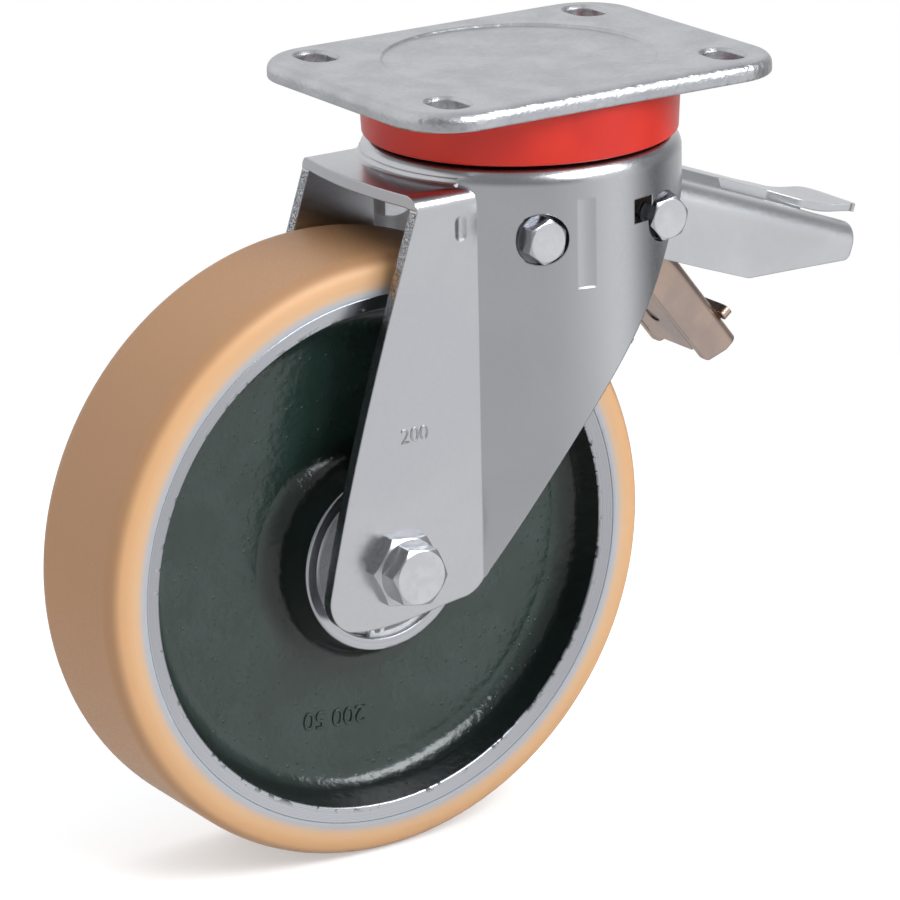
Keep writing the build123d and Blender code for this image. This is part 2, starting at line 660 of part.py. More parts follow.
def make_tread():
    """Cast tyre bonded round the rim."""
    half = TREAD_WIDTH / 2
    rim = RIM_WIDTH / 2
    lip_r = RIM_R + TREAD_LIP
    return at_axle(turned_on_y([
        (RIM_R, -rim, 0), (lip_r, -half, 0.5), (WHEEL_R, -half, TREAD_EDGE_R),
        (WHEEL_R, half, TREAD_EDGE_R), (lip_r, half, 0.5), (RIM_R, rim, 0)]))


def bearing_mid_y(side):
    return side * (BEARING_FACE_Y - BEARING_WIDTH / 2)


def ball_groove(side):
    groove = Torus(BEARING_PITCH_R, BEARING_BALL_R + BALL_CLEARANCE)
    return Pos(0, bearing_mid_y(side), 0) * Rot(90, 0, 0) * groove


def bearing_ring(inner_r, outer_r, side):
    """One race ring with its rounded corners and ball groove."""
    low, high = sorted((side * BEARING_FACE_Y, side * (BEARING_FACE_Y - BEARING_WIDTH)))
    corners = [(inner_r, low, 0.8), (outer_r, low, 0.8), (outer_r, high, 0.8), (inner_r, high, 0.8)]
    return at_axle(turned_on_y(corners) - ball_groove(side))


def bearing_balls(side):
    row = ball_row(BEARING_BALL_R, BEARING_PITCH_R, BEARING_BALL_COUNT, 0)
    return at_axle(Pos(0, bearing_mid_y(side), 0) * Rot(90, 0, 0) * row)


def bearing_shields(side):
    """Thin sheet rings that close the bearing, held in the outer ring."""
    discs = []
    for face in (BEARING_FACE_Y, BEARING_FACE_Y - BEARING_WIDTH):
        inward = -1 if face == BEARING_FACE_Y else 1
        start = side * (face + inward * SHIELD_INSET)
        end = start + side * inward * SHIELD_THICKNESS
        low, high = sorted((start, end))
        discs.append(at_axle(ring_on_y(INNER_RING_R + SHIELD_CLEARANCE, OUTER_RING_BORE_R, low, high)))
    return Compound(discs)


def make_bearing_spacer():
    """Tube between the two inner rings."""
    half = BEARING_FACE_Y - BEARING_WIDTH
    return at_axle(ring_on_y(AXLE_TUBE_R + RUNNING_CLEARANCE, WHEEL_SPACER_R, -half, half))


def circlip(side):
    """Spring ring in the hub bore, with two drilled lugs at its gap."""
    ring = Cylinder(CIRCLIP_GROOVE_R, CIRCLIP_THICKNESS) - Cylinder(CIRCLIP_INNER_R, CIRCLIP_THICKNESS * 2)
    half_gap = math.radians(CIRCLIP_GAP_DEG / 2)
    far = 40.0
    wedge = extrude(Pos(0, 0, -CIRCLIP_THICKNESS) * sharp([
        (0, 0), (far, -far * math.tan(half_gap)), (far, far * math.tan(half_gap))]), CIRCLIP_THICKNESS * 2)
    ring -= wedge
    lug_at = CIRCLIP_INNER_R - CIRCLIP_LUG_R * 0.3
    lug_angle = CIRCLIP_GAP_DEG / 2 + math.degrees(CIRCLIP_LUG_R / lug_at)
    for sign in (-1, 1):
        place = Rot(0, 0, sign * lug_angle) * Pos(lug_at, 0, 0)
        ring += place * Cylinder(CIRCLIP_LUG_R, CIRCLIP_THICKNESS)
        ring -= place * Cylinder(CIRCLIP_LUG_HOLE_R, CIRCLIP_THICKNESS * 2)
    centre_y = side * (BEARING_FACE_Y + CIRCLIP_THICKNESS / 2)
    return at_axle(Pos(0, centre_y, 0) * Rot(90, 0, 0) * Rot(0, 0, -CIRCLIP_TURN_DEG) * ring)


# ---------------------------------------------------------------- pedal

def in_slope(shape):
    """Moves a shape from the pedal's slope frame to its place."""
    return at_pivot(Rot(0, PEDAL_SLOPE_DEG, 0) * shape)


def swung_back(x, z):
    """Point in the slope frame, given where it is with the brake fully on."""
    angle = math.radians(BRAKE_SWING_DEG + PEDAL_SLOPE_DEG)
    dx = x - BRAKE_BOLT_X
    dz = z - BRAKE_BOLT_Z
    return (dx * math.cos(angle) - dz * math.sin(angle), dx * math.sin(angle) + dz * math.cos(angle))


def pedal_section(offset):
    """Open channel section in (y, w), pressed inwards by offset."""
    side = PEDAL_HALF_WIDTH - offset
    web = PEDAL_WEB_W - offset
    ridge = RIDGE_W - offset
    bend = max(PEDAL_BEND_R - offset, 0.5)
    lean = offset * 0.45
    foot = RIDGE_FOOT - lean
    crest = RIDGE_HALF_WIDTH - lean
    return rounded([
        (-side, -BEYOND, 0), (side, -BEYOND, 0), (side, web, bend), (foot, web, RIDGE_BEND_R),
        (crest, ridge, RIDGE_BEND_R), (-crest, ridge, RIDGE_BEND_R), (-foot, web, RIDGE_BEND_R),
        (-side, web, bend)])


def pedal_channel():
    """Endless channel with the raised ridge."""
    outer, inner = [
        extrude(Plane.YZ * pedal_section(offset), BEYOND, both=True) for offset in (0, PEDAL_SHEET)]
    return outer - inner


def pedal_side():
    """Side outline of the pedal in (u, w)."""
    arm_top = LOWER_RACE_BOTTOM - FACE_GAP
    arm_low = arm_top - LOCK_ARM_DEPTH
    tip_top = swung_back(LOCK_ARM_END_X, arm_top)
    tip_low = swung_back(LOCK_ARM_END_X, arm_low)
    root_top = swung_back(BRAKE_BOLT_X, arm_top)
    web_top = RIDGE_W + 1
    corners = [(WEB_START_U, web_top, 0), (CHANNEL_END_U, web_top, 0)]
    corners += [(u, w, 3) for u, w in FLANGE_LOWER]
    corners += [(*ARM_KNEE, 6), (*tip_low, 2), (*tip_top, 1), (*root_top, 3)]
    corners += [(WEB_START_U, PEDAL_WEB_W - PEDAL_SHEET, 0)]
    return rounded(corners)


def tongue_slots():
    """Narrow gaps each side of the tongue, and the room under the foot pad."""
    side = RIDGE_HALF_WIDTH - 0.5
    wide = PAD_HALF_WIDTH + SLOT_GAP
    end_u = CHANNEL_END_U + 1
    face = sharp([
        (SLOT_START_U, side), (SLOT_START_U, RIDGE_FOOT), (PAD_WIDE_U, RIDGE_FOOT), (end_u, wide),
        (end_u, 0), (PAD_RISE_U + 2, 0), (PAD_RISE_U, side)])
    cut = Pos(0, 0, PEDAL_WEB_W - PEDAL_SHEET - 1) * raised(face, BEYOND)
    return cut + mirror(cut, Plane.XZ)


def foot_pad():
    """Tongue's raised, widened end with its pointed nose."""
    start = SLOT_START_U + 4
    top = [(start, RIDGE_W), (PAD_RISE_U, RIDGE_W), (PAD_CREST_U, PAD_W), (PAD_END_U, PAD_END_W)]
    low = [(u, w - PAD_THICKNESS) for u, w in reversed(top)]
    profile = Face(Wire([
        Line(top[0], top[1]), Spline(*[Vector(*p) for p in top[1:]], tangents=((1, 0), (1, -0.25))),
        Line(top[3], low[0]), Spline(*[Vector(*p) for p in low[:3]], tangents=((-1, 0.25), (-1, 0))),
        Line(low[2], low[3]), Line(low[3], top[0])]))
    neck = NECK_HALF_WIDTH
    half = PAD_HALF_WIDTH
    nose = PAD_NOSE_HALF_WIDTH
    shoulder_u = PAD_END_U - PAD_NOSE_LENGTH
    bend = PAD_NECK_BEND_R
    plan = rounded([
        (start, -neck, 0), (NECK_END_U, -neck, bend), (PAD_WIDE_U, -half, bend), (shoulder_u, -half, 3),
        (PAD_END_U, -nose, 2), (PAD_END_U, nose, 2), (shoulder_u, half, 3), (PAD_WIDE_U, half, bend),
        (NECK_END_U, neck, bend), (start, neck, 0)])
    return plate_on_xz(profile, -half, half) & raised(plan, BEYOND)


def make_pedal():
    """Plated channel with locking arms inboard and a foot pad outboard."""
    inner_y = PEDAL_HALF_WIDTH - PEDAL_SHEET
    side = plate_on_xz(pedal_side(), -PEDAL_HALF_WIDTH - 1, PEDAL_HALF_WIDTH + 1)
    room = Box(BEYOND, 2 * inner_y, BEYOND, align=(Align.MAX, Align.CENTER, Align.CENTER))
    body = (pedal_channel() & side) - Pos(WEB_START_U, 0, 0) * room
    body -= tongue_slots()
    body += foot_pad()
    for end in (-PEDAL_HALF_WIDTH, inner_y):
        body += rod_on_y(PIVOT_BOSS_R, end, end + PEDAL_SHEET)
    body -= rod_on_y(BRAKE_TUBE_R + RUNNING_CLEARANCE, -BEYOND, BEYOND)
    return in_slope(body)


# ---------------------------------------------------------------- brake lever

def in_lever(shape):
    """Moves a shape from the lever's frame (s, y, n) to its place."""
    return at_pivot(Rot(0, LEVER_SLOPE_DEG, 0) * shape)


def lever_section():
    """Channel section of the lever in (y, n)."""
    half = LEVER_HALF_WIDTH
    inner = half - LEVER_SHEET
    web_in = LEVER_WEB_N - LEVER_SHEET
    inner_bend = LEVER_BEND_R - LEVER_SHEET
    return rounded([
        (-half, -BEYOND, 0), (-inner, -BEYOND, 0), (-inner, web_in, inner_bend), (inner, web_in, inner_bend),
        (inner, -BEYOND, 0), (half, -BEYOND, 0), (half, LEVER_WEB_N, LEVER_BEND_R),
        (-half, LEVER_WEB_N, LEVER_BEND_R)])


def make_brake_lever():
    """Channel lever with a lip across its outer face."""
    half = LEVER_HALF_WIDTH
    inner = half - LEVER_SHEET
    over = LEVER_WEB_N + 1
    channel = extrude(Plane.YZ * lever_section(), BEYOND, both=True)
    side = plate_on_xz(rounded([
        (0, PIVOT_BOSS_R, 0), (LEVER_WEB_START_S, over, 0), (LEVER_END_S, over, 0), (LEVER_END_S, 0.5, 1),
        (LEVER_CORNER_S, LEVER_FLANGE_N, LEVER_CORNER_R), (0, -PIVOT_BOSS_R, 0)]), -half - 1, half + 1)
    room = Box(BEYOND, 2 * inner, BEYOND, align=(Align.MAX, Align.CENTER, Align.CENTER))
    lever = (channel & side) - Pos(LEVER_WEB_START_S, 0, 0) * room
    for end in (-half, inner):
        lever += rod_on_y(PIVOT_BOSS_R, end, end + LEVER_SHEET)
    lip = rounded([
        (LIP_START_S, -LIP_HALF_WIDTH, 2), (LIP_END_S, -LIP_HALF_WIDTH, 2), (LIP_END_S, LIP_HALF_WIDTH, 2),
        (LIP_START_S, LIP_HALF_WIDTH, 2)])
    lever += Pos(0, 0, LEVER_WEB_N - LIP_SINK) * raised(lip, LIP_THICKNESS + LIP_SINK)
    lever -= rod_on_y(BRAKE_TUBE_R + RUNNING_CLEARANCE, -BEYOND, BEYOND)
    for place in RIVET_PLACES:
        lever -= Pos(place, 0, 0) * Cylinder(RIVET_R + RUNNING_CLEARANCE, BEYOND)
    return in_lever(lever)


def make_brake_shoe():
    """Plate between the lever's flanges that presses on the tread."""
    half = LEVER_HALF_WIDTH - LEVER_SHEET - SHOE_SIDE_GAP
    corner = SHOE_CORNER_R
    outline = rounded([
        (SHOE_START_S, -half, corner), (SHOE_END_S, -half, corner), (SHOE_END_S, half, corner),
        (SHOE_START_S, half, corner)])
    shoe = Pos(0, 0, LEVER_FLANGE_N) * raised(outline, SHOE_THICKNESS)
    for place in RIVET_PLACES:
        shoe -= Pos(place, 0, 0) * Cylinder(RIVET_R + RUNNING_CLEARANCE, BEYOND)
    return in_lever(shoe)


def make_shoe_rivets():
    """Shouldered rivets that hold the shoe off the lever's web."""
    low = LEVER_FLANGE_N + 0.6
    shoe_top = LEVER_FLANGE_N + SHOE_THICKNESS
    web_in = LEVER_WEB_N - LEVER_SHEET
    rivet = turned([
        (0, low, 0), (RIVET_R, low, 0), (RIVET_R, shoe_top, 0), (RIVET_SLEEVE_R, shoe_top, 0),
        (RIVET_SLEEVE_R, web_in, 0), (RIVET_R, web_in, 0), (RIVET_R, LEVER_WEB_N, 0),
        (RIVET_HEAD_R, LEVER_WEB_N, 0), (RIVET_HEAD_R, LEVER_WEB_N + RIVET_HEAD_HEIGHT, 1.2),
        (0, LEVER_WEB_N + RIVET_HEAD_HEIGHT, 0)])
    return Compound([in_lever(Pos(place, 0, 0) * rivet) for place in RIVET_PLACES])


def all_nodes():
    """Every piece of the castor by node name."""
    flange = PEDAL_HALF_WIDTH
    lever = LEVER_HALF_WIDTH
    return {
        "top_plate": make_top_plate(),
        "dust_seal": make_dust_seal(),
        "upper_balls": ball_row(UPPER_BALL_R, UPPER_PITCH_R, UPPER_BALL_COUNT, upper_ball_z()),
        "lower_balls": ball_row(LOWER_BALL_R, LOWER_PITCH_R, LOWER_BALL_COUNT, LOWER_BALL_Z),
        "lower_race": make_lower_race(),
        "king_pin_washer": make_king_pin_washer(),
        "king_pin_nut": make_king_pin_nut(),
        "fork": make_fork(),
        "brake_anchor_bolt": at_anchor(brake_bolt(ANCHOR_HEAD_TURN_DEG)),
        "brake_pivot_bolt": at_pivot(brake_bolt(PIVOT_HEAD_TURN_DEG)),
        "brake_nuts": make_brake_nuts(),
        "brake_washers": make_brake_washers(),
        "anchor_tube": at_anchor(brake_tube()),
        "pivot_tube": at_pivot(brake_tube()),
        "pivot_spacers_outer": pivot_spacers(flange + FACE_GAP, SPACER_END_Y),
        "pivot_spacers_inner": pivot_spacers(lever + FACE_GAP, flange - PEDAL_SHEET - FACE_GAP),
        "axle_tube": make_axle_tube(),
        "axle_bolt": make_axle_bolt(),
        "axle_washer": make_axle_washer(),
        "axle_nut": make_axle_nut(),
        "wheel_spacer_near": wheel_spacer(-1),
        "wheel_spacer_far": wheel_spacer(1),
        "bearing_spacer": make_bearing_spacer(),
        "bearing_inner_near": bearing_ring(BEARING_BORE_R + RUNNING_CLEARANCE, INNER_RING_R, -1),
        "bearing_inner_far": bearing_ring(BEARING_BORE_R + RUNNING_CLEARANCE, INNER_RING_R, 1),
        "bearing_outer_near": bearing_ring(OUTER_RING_BORE_R, HUB_BORE_R, -1),
        "bearing_outer_far": bearing_ring(OUTER_RING_BORE_R, HUB_BORE_R, 1),
        "bearing_balls_near": bearing_balls(-1),
        "bearing_balls_far": bearing_balls(1),
        "bearing_shields_near": bearing_shields(-1),
        "bearing_shields_far": bearing_shields(1),
        "circlip_near": circlip(-1),
        "circlip_far": circlip(1),
        "wheel_centre": make_wheel_centre(),
        "tread": make_tread(),
        "pedal": make_pedal(),
        "brake_lever": make_brake_lever(),
        "brake_shoe": make_brake_shoe(),
        "shoe_rivets": make_shoe_rivets(),
    }


os.makedirs("parts", exist_ok=True)
for name, shape in all_nodes().items():
    export_step(shape, os.path.join("parts", name + ".step"))
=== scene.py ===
"""Finishes, small pieces, lights and camera for a braked swivel castor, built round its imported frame."""

from __future__ import annotations

import logging
import math
from dataclasses import dataclass
from enum import Enum

import bmesh
import bpy
from mathutils import Matrix, Vector


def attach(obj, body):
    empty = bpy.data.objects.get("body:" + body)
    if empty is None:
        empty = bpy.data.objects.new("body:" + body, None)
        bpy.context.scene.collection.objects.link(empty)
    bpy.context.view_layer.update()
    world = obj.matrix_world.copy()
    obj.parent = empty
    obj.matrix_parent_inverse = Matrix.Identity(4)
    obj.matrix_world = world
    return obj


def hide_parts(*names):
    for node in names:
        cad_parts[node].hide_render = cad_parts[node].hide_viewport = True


LOG = logging.getLogger("castor")
MM = 0.001

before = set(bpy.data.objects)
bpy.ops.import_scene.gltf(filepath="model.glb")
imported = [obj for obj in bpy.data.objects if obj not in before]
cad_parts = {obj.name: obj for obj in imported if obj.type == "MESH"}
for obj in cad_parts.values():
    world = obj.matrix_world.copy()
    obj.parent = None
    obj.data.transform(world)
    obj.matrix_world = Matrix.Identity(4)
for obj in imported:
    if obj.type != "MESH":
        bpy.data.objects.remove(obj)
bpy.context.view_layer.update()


class Body(Enum):
    """Moving groups that the new pieces ride on."""

    FORK = "fork"
    WHEEL = "wheel"


class Slot(Enum):
    """Finish slots of the record that the new pieces belong to."""

    FORK_ZINC = "fork_zinc"
    BOLT_ZINC = "bolt_zinc"
    IRON_GREEN = "iron_green"


@dataclass(frozen=True)
class Axle:
    """Where the wheel turns, in millimetres."""

    x: float = -70.0
    z: float = -150.0

    def centre(self) -> tuple[float, float, float]:
        """Middle of the wheel, in metres."""
        return self.x * MM, 0.0, self.z * MM


AXLE = Axle()
WHEEL_R = 100.0
BRAKE_BOLT_X = 23.4
BRAKE_BOLT_Z = -47.2
FLOOR_Z = (AXLE.z - WHEEL_R) * MM
NOISE_SPAN = (0.3, 0.7)


class Graph:
    """Short hand for filling a node tree."""

    def __init__(self, tree: bpy.types.NodeTree) -> None:
        """Keeps the tree.

        Args:
            tree: the material's, world's or group's node tree.
        """
        self.tree = tree

    def add(
        self, kind: str, inputs: dict[str | int, object] | None = None, **settings: object
    ) -> bpy.types.Node:
        """Adds a node.

        Args:
            kind: the node's class name, without its ShaderNode prefix.
            inputs: values or sockets for its inputs, by name or number.
            settings: attributes of the node.

        Returns:
            The new node.
        """
        full = kind if kind.startswith("Node") else "ShaderNode" + kind
        node = self.tree.nodes.new(full)
        for key, value in settings.items():
            setattr(node, key, value)
        for key, value in (inputs or {}).items():
            self.put(node.inputs[key], value)
        return node

    def put(self, socket: bpy.types.NodeSocket, value: object) -> None:
        """Sets a socket, or links another socket to it.

        Args:
            socket: the input.
            value: a number, a tuple or an output socket.
        """
        if isinstance(value, bpy.types.NodeSocket):
            self.tree.links.new(value, socket)
        else:
            socket.default_value = value

    def maths(self, operation: str, a: object, b: object = 0.0, clamp: bool = False) -> bpy.types.NodeSocket:
        """Joins two values.

        Args:
            operation: the Math node's operation.
            a: first value or socket.
            b: second value or socket.
            clamp: whether the result is kept from 0 to 1.

        Returns:
            The result's socket.
        """
        node = self.add("Math", {0: a, 1: b}, operation=operation, use_clamp=clamp)
        return node.outputs[0]

    def span(
        self, value: object, low: float, high: float, out_low: float = 0.0, out_high: float = 1.0
    ) -> bpy.types.NodeSocket:
        """Maps a range smoothly on to another.

        Args:
            value: the socket to read.
            low: start of the range.
            high: end of the range.
            out_low: result at the start.
            out_high: result at the end.

        Returns:
            The result's socket.
        """
        limits = {"From Min": low, "From Max": high, "To Min": out_low, "To Max": out_high}
        node = self.add("MapRange", {"Value": value, **limits}, interpolation_type="SMOOTHSTEP")
        return node.outputs["Result"]

    def tint(self, share: object, a: object, b: object) -> bpy.types.NodeSocket:
        """Mixes two colours.

        Args:
            share: how much of the second shows.
            a: first colour or socket.
            b: second colour or socket.

        Returns:
            The mixed colour's socket.
        """
        node = self.add("Mix", data_type="RGBA")
        self.put(node.inputs[0], share)
        self.put(node.inputs[6], a)
        self.put(node.inputs[7], b)
        return node.outputs[2]

    def noise(self, vector: bpy.types.NodeSocket, scale: float, detail: float) -> bpy.types.NodeSocket:
        """Noise's value.

        Args:
            vector: the coordinates it follows.
            scale: how many lumps to a metre.
            detail: how many finer layers it has.

        Returns:
            The value's socket.
        """
        return self.add("TexNoise", {"Vector": vector, "Scale": scale, "Detail": detail}).outputs[0]

    def place(self, centre: tuple[float, float, float] = (0, 0, 0)) -> bpy.types.NodeSocket:
        """Object coordinates measured from a point.

        Args:
            centre: the point that becomes the origin, in metres.

        Returns:
            The vector's socket.
        """
        coords = self.add("TexCoord").outputs["Object"]
        return self.add("VectorMath", {0: coords, 1: centre}, operation="SUBTRACT").outputs[0]


def linear(value: float) -> float:
    """Linear share of one 8-bit screen value."""
    share = value / 255
    return share / 12.92 if share <= 0.04045 else ((share + 0.055) / 1.055) ** 2.4


def rgb(red: float, green: float, blue: float) -> tuple[float, float, float, float]:
    """Scene colour of an 8-bit screen colour.

    Args:
        red: 0 to 255.
        green: 0 to 255.
        blue: 0 to 255.

    Returns:
        The linear colour with full alpha.
    """
    return linear(red), linear(green), linear(blue), 1.0


class Effects:
    """Node groups that several finishes share, each built once."""

    def __init__(self) -> None:
        """Builds every group."""
        self.grain = self._grain()
        self.spots = self._spots()
        self.edges = self._edges()
        self.rings = self._rings()

    def _new(
        self, name: str, ins: dict[str, float | None], outs: dict[str, str]
    ) -> tuple[Graph, bpy.types.Node, bpy.types.Node]:
        """Starts a group.

        Args:
            name: the group's name.
            ins: input names with their default, or None for a vector.
            outs: output names with their socket kind.

        Returns:
            The graph, its input node and its output node.
        """
        tree = bpy.data.node_groups.new(name, "ShaderNodeTree")
        for key, default in ins.items():
            kind = "NodeSocketVector" if default is None else "NodeSocketFloat"
            socket = tree.interface.new_socket(name=key, in_out="INPUT", socket_type=kind)
            if default is not None:
                socket.default_value = default
        for key, kind in outs.items():
            tree.interface.new_socket(name=key, in_out="OUTPUT", socket_type="NodeSocket" + kind)
        graph = Graph(tree)
        return graph, graph.add("NodeGroupInput"), graph.add("NodeGroupOutput")

    def _grain(self) -> bpy.types.NodeTree:
        """Fine and cloudy unevenness for metal and paint: two masks and a height."""
        graph, given, out = self._new(
            "surface_grain",
            {"Vector": None, "Fine Scale": 1500.0, "Cloud Scale": 60.0, "Fine Share": 0.3},
            {"Fine": "Float", "Cloud": "Float", "Height": "Float"})
        vector = given.outputs["Vector"]
        fine = graph.add("TexNoise", {"Vector": vector, "Scale": given.outputs["Fine Scale"], "Detail": 2.0})
        cloud = graph.add("TexNoise", {
            "Vector": vector, "Scale": given.outputs["Cloud Scale"], "Detail": 4.0, "Roughness": 0.5,
            "Distortion": 0.4})
        graph.put(out.inputs["Fine"], fine.outputs[0])
        graph.put(out.inputs["Cloud"], cloud.outputs[0])
        small = graph.maths("MULTIPLY", fine.outputs[0], given.outputs["Fine Share"])
        graph.put(out.inputs["Height"], graph.maths("ADD", small, cloud.outputs[0]))
        return graph.tree

    def _spots(self) -> bpy.types.NodeTree:
        """Scattered small spots as a mask."""
        graph, given, out = self._new(
            "scattered_spots", {"Vector": None, "Scale": 300.0, "Amount": 0.2}, {"Mask": "Float"})
        cells = graph.add("TexVoronoi", {
            "Vector": given.outputs["Vector"], "Scale": given.outputs["Scale"], "Randomness": 1.0})
        pick = graph.add("SeparateColor", {0: cells.outputs["Color"]})
        chosen = graph.maths("LESS_THAN", pick.outputs[0], given.outputs["Amount"])
        near = graph.span(cells.outputs["Distance"], 0.32, 0.12)
        graph.put(out.inputs["Mask"], graph.maths("MULTIPLY", chosen, near, clamp=True))
        return graph.tree

    def _edges(self) -> bpy.types.NodeTree:
        """Normal with the edges rounded."""
        graph, given, out = self._new("eased_edges", {"Radius": 0.0006}, {"Normal": "Vector"})
        soft = graph.add("Bevel", {"Radius": given.outputs["Radius"]}, samples=6)
        graph.put(out.inputs["Normal"], soft.outputs[0])
        return graph.tree

    def _rings(self) -> bpy.types.NodeTree:
        """Distance from the axle, distance from the wheel's middle and a fine lathe line."""
        graph, given, out = self._new(
            "wheel_rings", {"Vector": None}, {"Radius": "Float", "Out": "Float", "Lathe": "Float"})
        part = graph.add("SeparateXYZ", {0: given.outputs["Vector"]})
        squares = [graph.maths("MULTIPLY", part.outputs[i], part.outputs[i]) for i in (0, 2)]
        radius = graph.maths("SQRT", graph.maths("ADD", *squares))
        line = graph.add("TexNoise", {
            "Vector": graph.add("CombineXYZ", {0: radius}).outputs[0], "Scale": 5000.0, "Detail": 2.0})
        graph.put(out.inputs["Radius"], radius)
        graph.put(out.inputs["Out"], graph.maths("ABSOLUTE", part.outputs[1]))
        graph.put(out.inputs["Lathe"], line.outputs[0])
        return graph.tree


@dataclass(frozen=True)
class Finish:
    """A material with the parts every finish has."""

    name: str

    def start(self) -> tuple[bpy.types.Material, Graph, bpy.types.Node]:
        """Opens a material.

        Returns:
            The material, its graph and its shader.
        """
        material = bpy.data.materials.new(self.name)
        material.use_nodes = True
        material.node_tree.nodes.clear()
        graph = Graph(material.node_tree)
        shader = graph.add("BsdfPrincipled")
        output = graph.add("OutputMaterial")
        graph.put(output.inputs["Surface"], shader.outputs[0])
        return material, graph, shader

    def grain(
        self, graph: Graph, effects: Effects, vector: bpy.types.NodeSocket, scales: tuple[float, float],
        fine_share: float = 0.3
    ) -> bpy.types.Node:
        """Places the shared grain.

        Args:
            graph: the material's graph.
            effects: the shared groups.
            vector: the coordinates it follows.
            scales: its fine and its cloudy scale.
            fine_share: how much of the fine grain its height has.

        Returns:
            The grain's node.
        """
        fine, cloud = scales
        values = {"Vector": vector, "Fine Scale": fine, "Cloud Scale": cloud, "Fine Share": fine_share}
        return graph.add("Group", values, node_tree=effects.grain)

    def bump(
        self, graph: Graph, height: object, distance: float, normal: object = None
    ) -> bpy.types.NodeSocket:
        """Bump node over an optional normal.

        Args:
            graph: the material's graph.
            height: the height's socket.
            distance: the height's size in metres.
            normal: the normal under it.

        Returns:
            The normal's socket.
        """
        node = graph.add("Bump", {"Strength": 1.0, "Distance": distance, "Height": height})
        if normal is not None:
            graph.put(node.inputs["Normal"], normal)
        return node.outputs[0]


@dataclass(frozen=True)
class Plating(Finish):
    """Zinc plating over steel."""

    tone: tuple[float, float, float, float] = rgb(191, 192, 195)
    shade: tuple[float, float, float, float] = rgb(184, 186, 190)
    roughness: float = 0.27
    roughness_spread: float = 0.06
    fine_scale: float = 900.0
    cloud_scale: float = 45.0
    relief: float = 0.000006
    fine_share: float = 0.0
    ease: float = 0.0006
    rolled: float = 0.0
    sheared: bool = False
    cloud_span: tuple[float, float] = (0.35, 0.68)
    bent_span: tuple[float, float] = (0.995, 0.8)
    scale_size: float = 420.0
    torn_scale: float = 2500.0
    torn_span: tuple[float, float] = (0.44, 0.6)
    torn_dark: tuple[float, float, float, float] = rgb(84, 85, 89)
    torn_bright: tuple[float, float, float, float] = rgb(190, 192, 196)
    torn_relief: float = 0.00008
    across_limit: float = 0.2
    upright_limit: float = 0.03
    shelf_under_z: float = -0.0352

    def build(self, effects: Effects) -> bpy.types.Material:
        """Makes the material.

        Args:
            effects: the shared groups.

        Returns:
            The material.
        """
        material, graph, shader = self.start()
        scales = (self.fine_scale, self.cloud_scale)
        grain = self.grain(graph, effects, graph.place(), scales, self.fine_share)
        eased = graph.add("Group", {"Radius": self.ease}, node_tree=effects.edges)
        colour = graph.tint(graph.span(grain.outputs["Cloud"], *self.cloud_span), self.shade, self.tone)
        half = self.roughness_spread / 2
        rough = graph.span(grain.outputs["Fine"], *NOISE_SPAN, self.roughness - half, self.roughness + half)
        normal = self.bump(graph, grain.outputs["Height"], self.relief, eased.outputs["Normal"])
        if self.rolled:
            face = graph.add("SeparateXYZ", {0: graph.add("TexCoord").outputs["Normal"]})
            bent = graph.span(graph.maths("ABSOLUTE", face.outputs[2]), *self.bent_span)
            scale = graph.noise(graph.place(), self.scale_size, 3.0)
            normal = self.bump(graph, graph.maths("MULTIPLY", scale, bent), self.rolled, normal)
        if self.sheared:
            cut = self._sheared_mask(graph)
            torn = graph.noise(graph.place(), self.torn_scale, 2.0)
            metal = graph.tint(graph.span(torn, *self.torn_span), self.torn_dark, self.torn_bright)
            colour = graph.tint(cut, colour, metal)
            normal = self.bump(graph, graph.maths("MULTIPLY", torn, cut), self.torn_relief, normal)
        graph.put(shader.inputs["Base Color"], colour)
        shader.inputs["Metallic"].default_value = 1.0
        graph.put(shader.inputs["Roughness"], rough)
        graph.put(shader.inputs["Normal"], normal)
        return material

    def _sheared_mask(self, graph: Graph) -> bpy.types.NodeSocket:
        """Mask of the sheet's sheared edges and its upward ledges, below the shelf.

        Args:
            graph: the material's graph.

        Returns:
            The mask's socket.
        """
        coords = graph.add("TexCoord")
        part = graph.add("SeparateXYZ", {0: coords.outputs["Normal"]})
        flat_y = graph.maths("LESS_THAN", graph.maths("ABSOLUTE", part.outputs[1]), self.across_limit)
        tilted = graph.maths("GREATER_THAN", graph.maths("ABSOLUTE", part.outputs[2]), self.upright_limit)
        height = graph.add("SeparateXYZ", {0: coords.outputs["Object"]}).outputs[2]
        below = graph.maths("LESS_THAN", height, self.shelf_under_z)
        return graph.maths("MULTIPLY", graph.maths("MULTIPLY", flat_y, tilted), below)


@dataclass(frozen=True)
class MouldedPlastic(Finish):
    """Glossy coloured plastic."""

    colour: tuple[float, float, float, float] = rgb(192, 35, 14)
    deep: tuple[float, float, float, float] = rgb(178, 28, 11)
    roughness: float = 0.3
    roughness_rise: float = 0.1
    scales: tuple[float, float] = (2500.0, 40.0)
    relief: float = 0.00001
    specular: float = 0.4

    def build(self, effects: Effects) -> bpy.types.Material:
        """Makes the material.

        Args:
            effects: the shared groups.

        Returns:
            The material.
        """
        material, graph, shader = self.start()
        grain = self.grain(graph, effects, graph.place(), self.scales)
        share = graph.span(grain.outputs["Cloud"], *NOISE_SPAN)
        graph.put(shader.inputs["Base Color"], graph.tint(share, self.deep, self.colour))
        roughest = self.roughness + self.roughness_rise
        rough = graph.span(grain.outputs["Fine"], *NOISE_SPAN, self.roughness, roughest)
        graph.put(shader.inputs["Roughness"], rough)
        graph.put(shader.inputs["Normal"], self.bump(graph, grain.outputs["Height"], self.relief))
        shader.inputs["Specular IOR Level"].default_value = self.specular
        return material


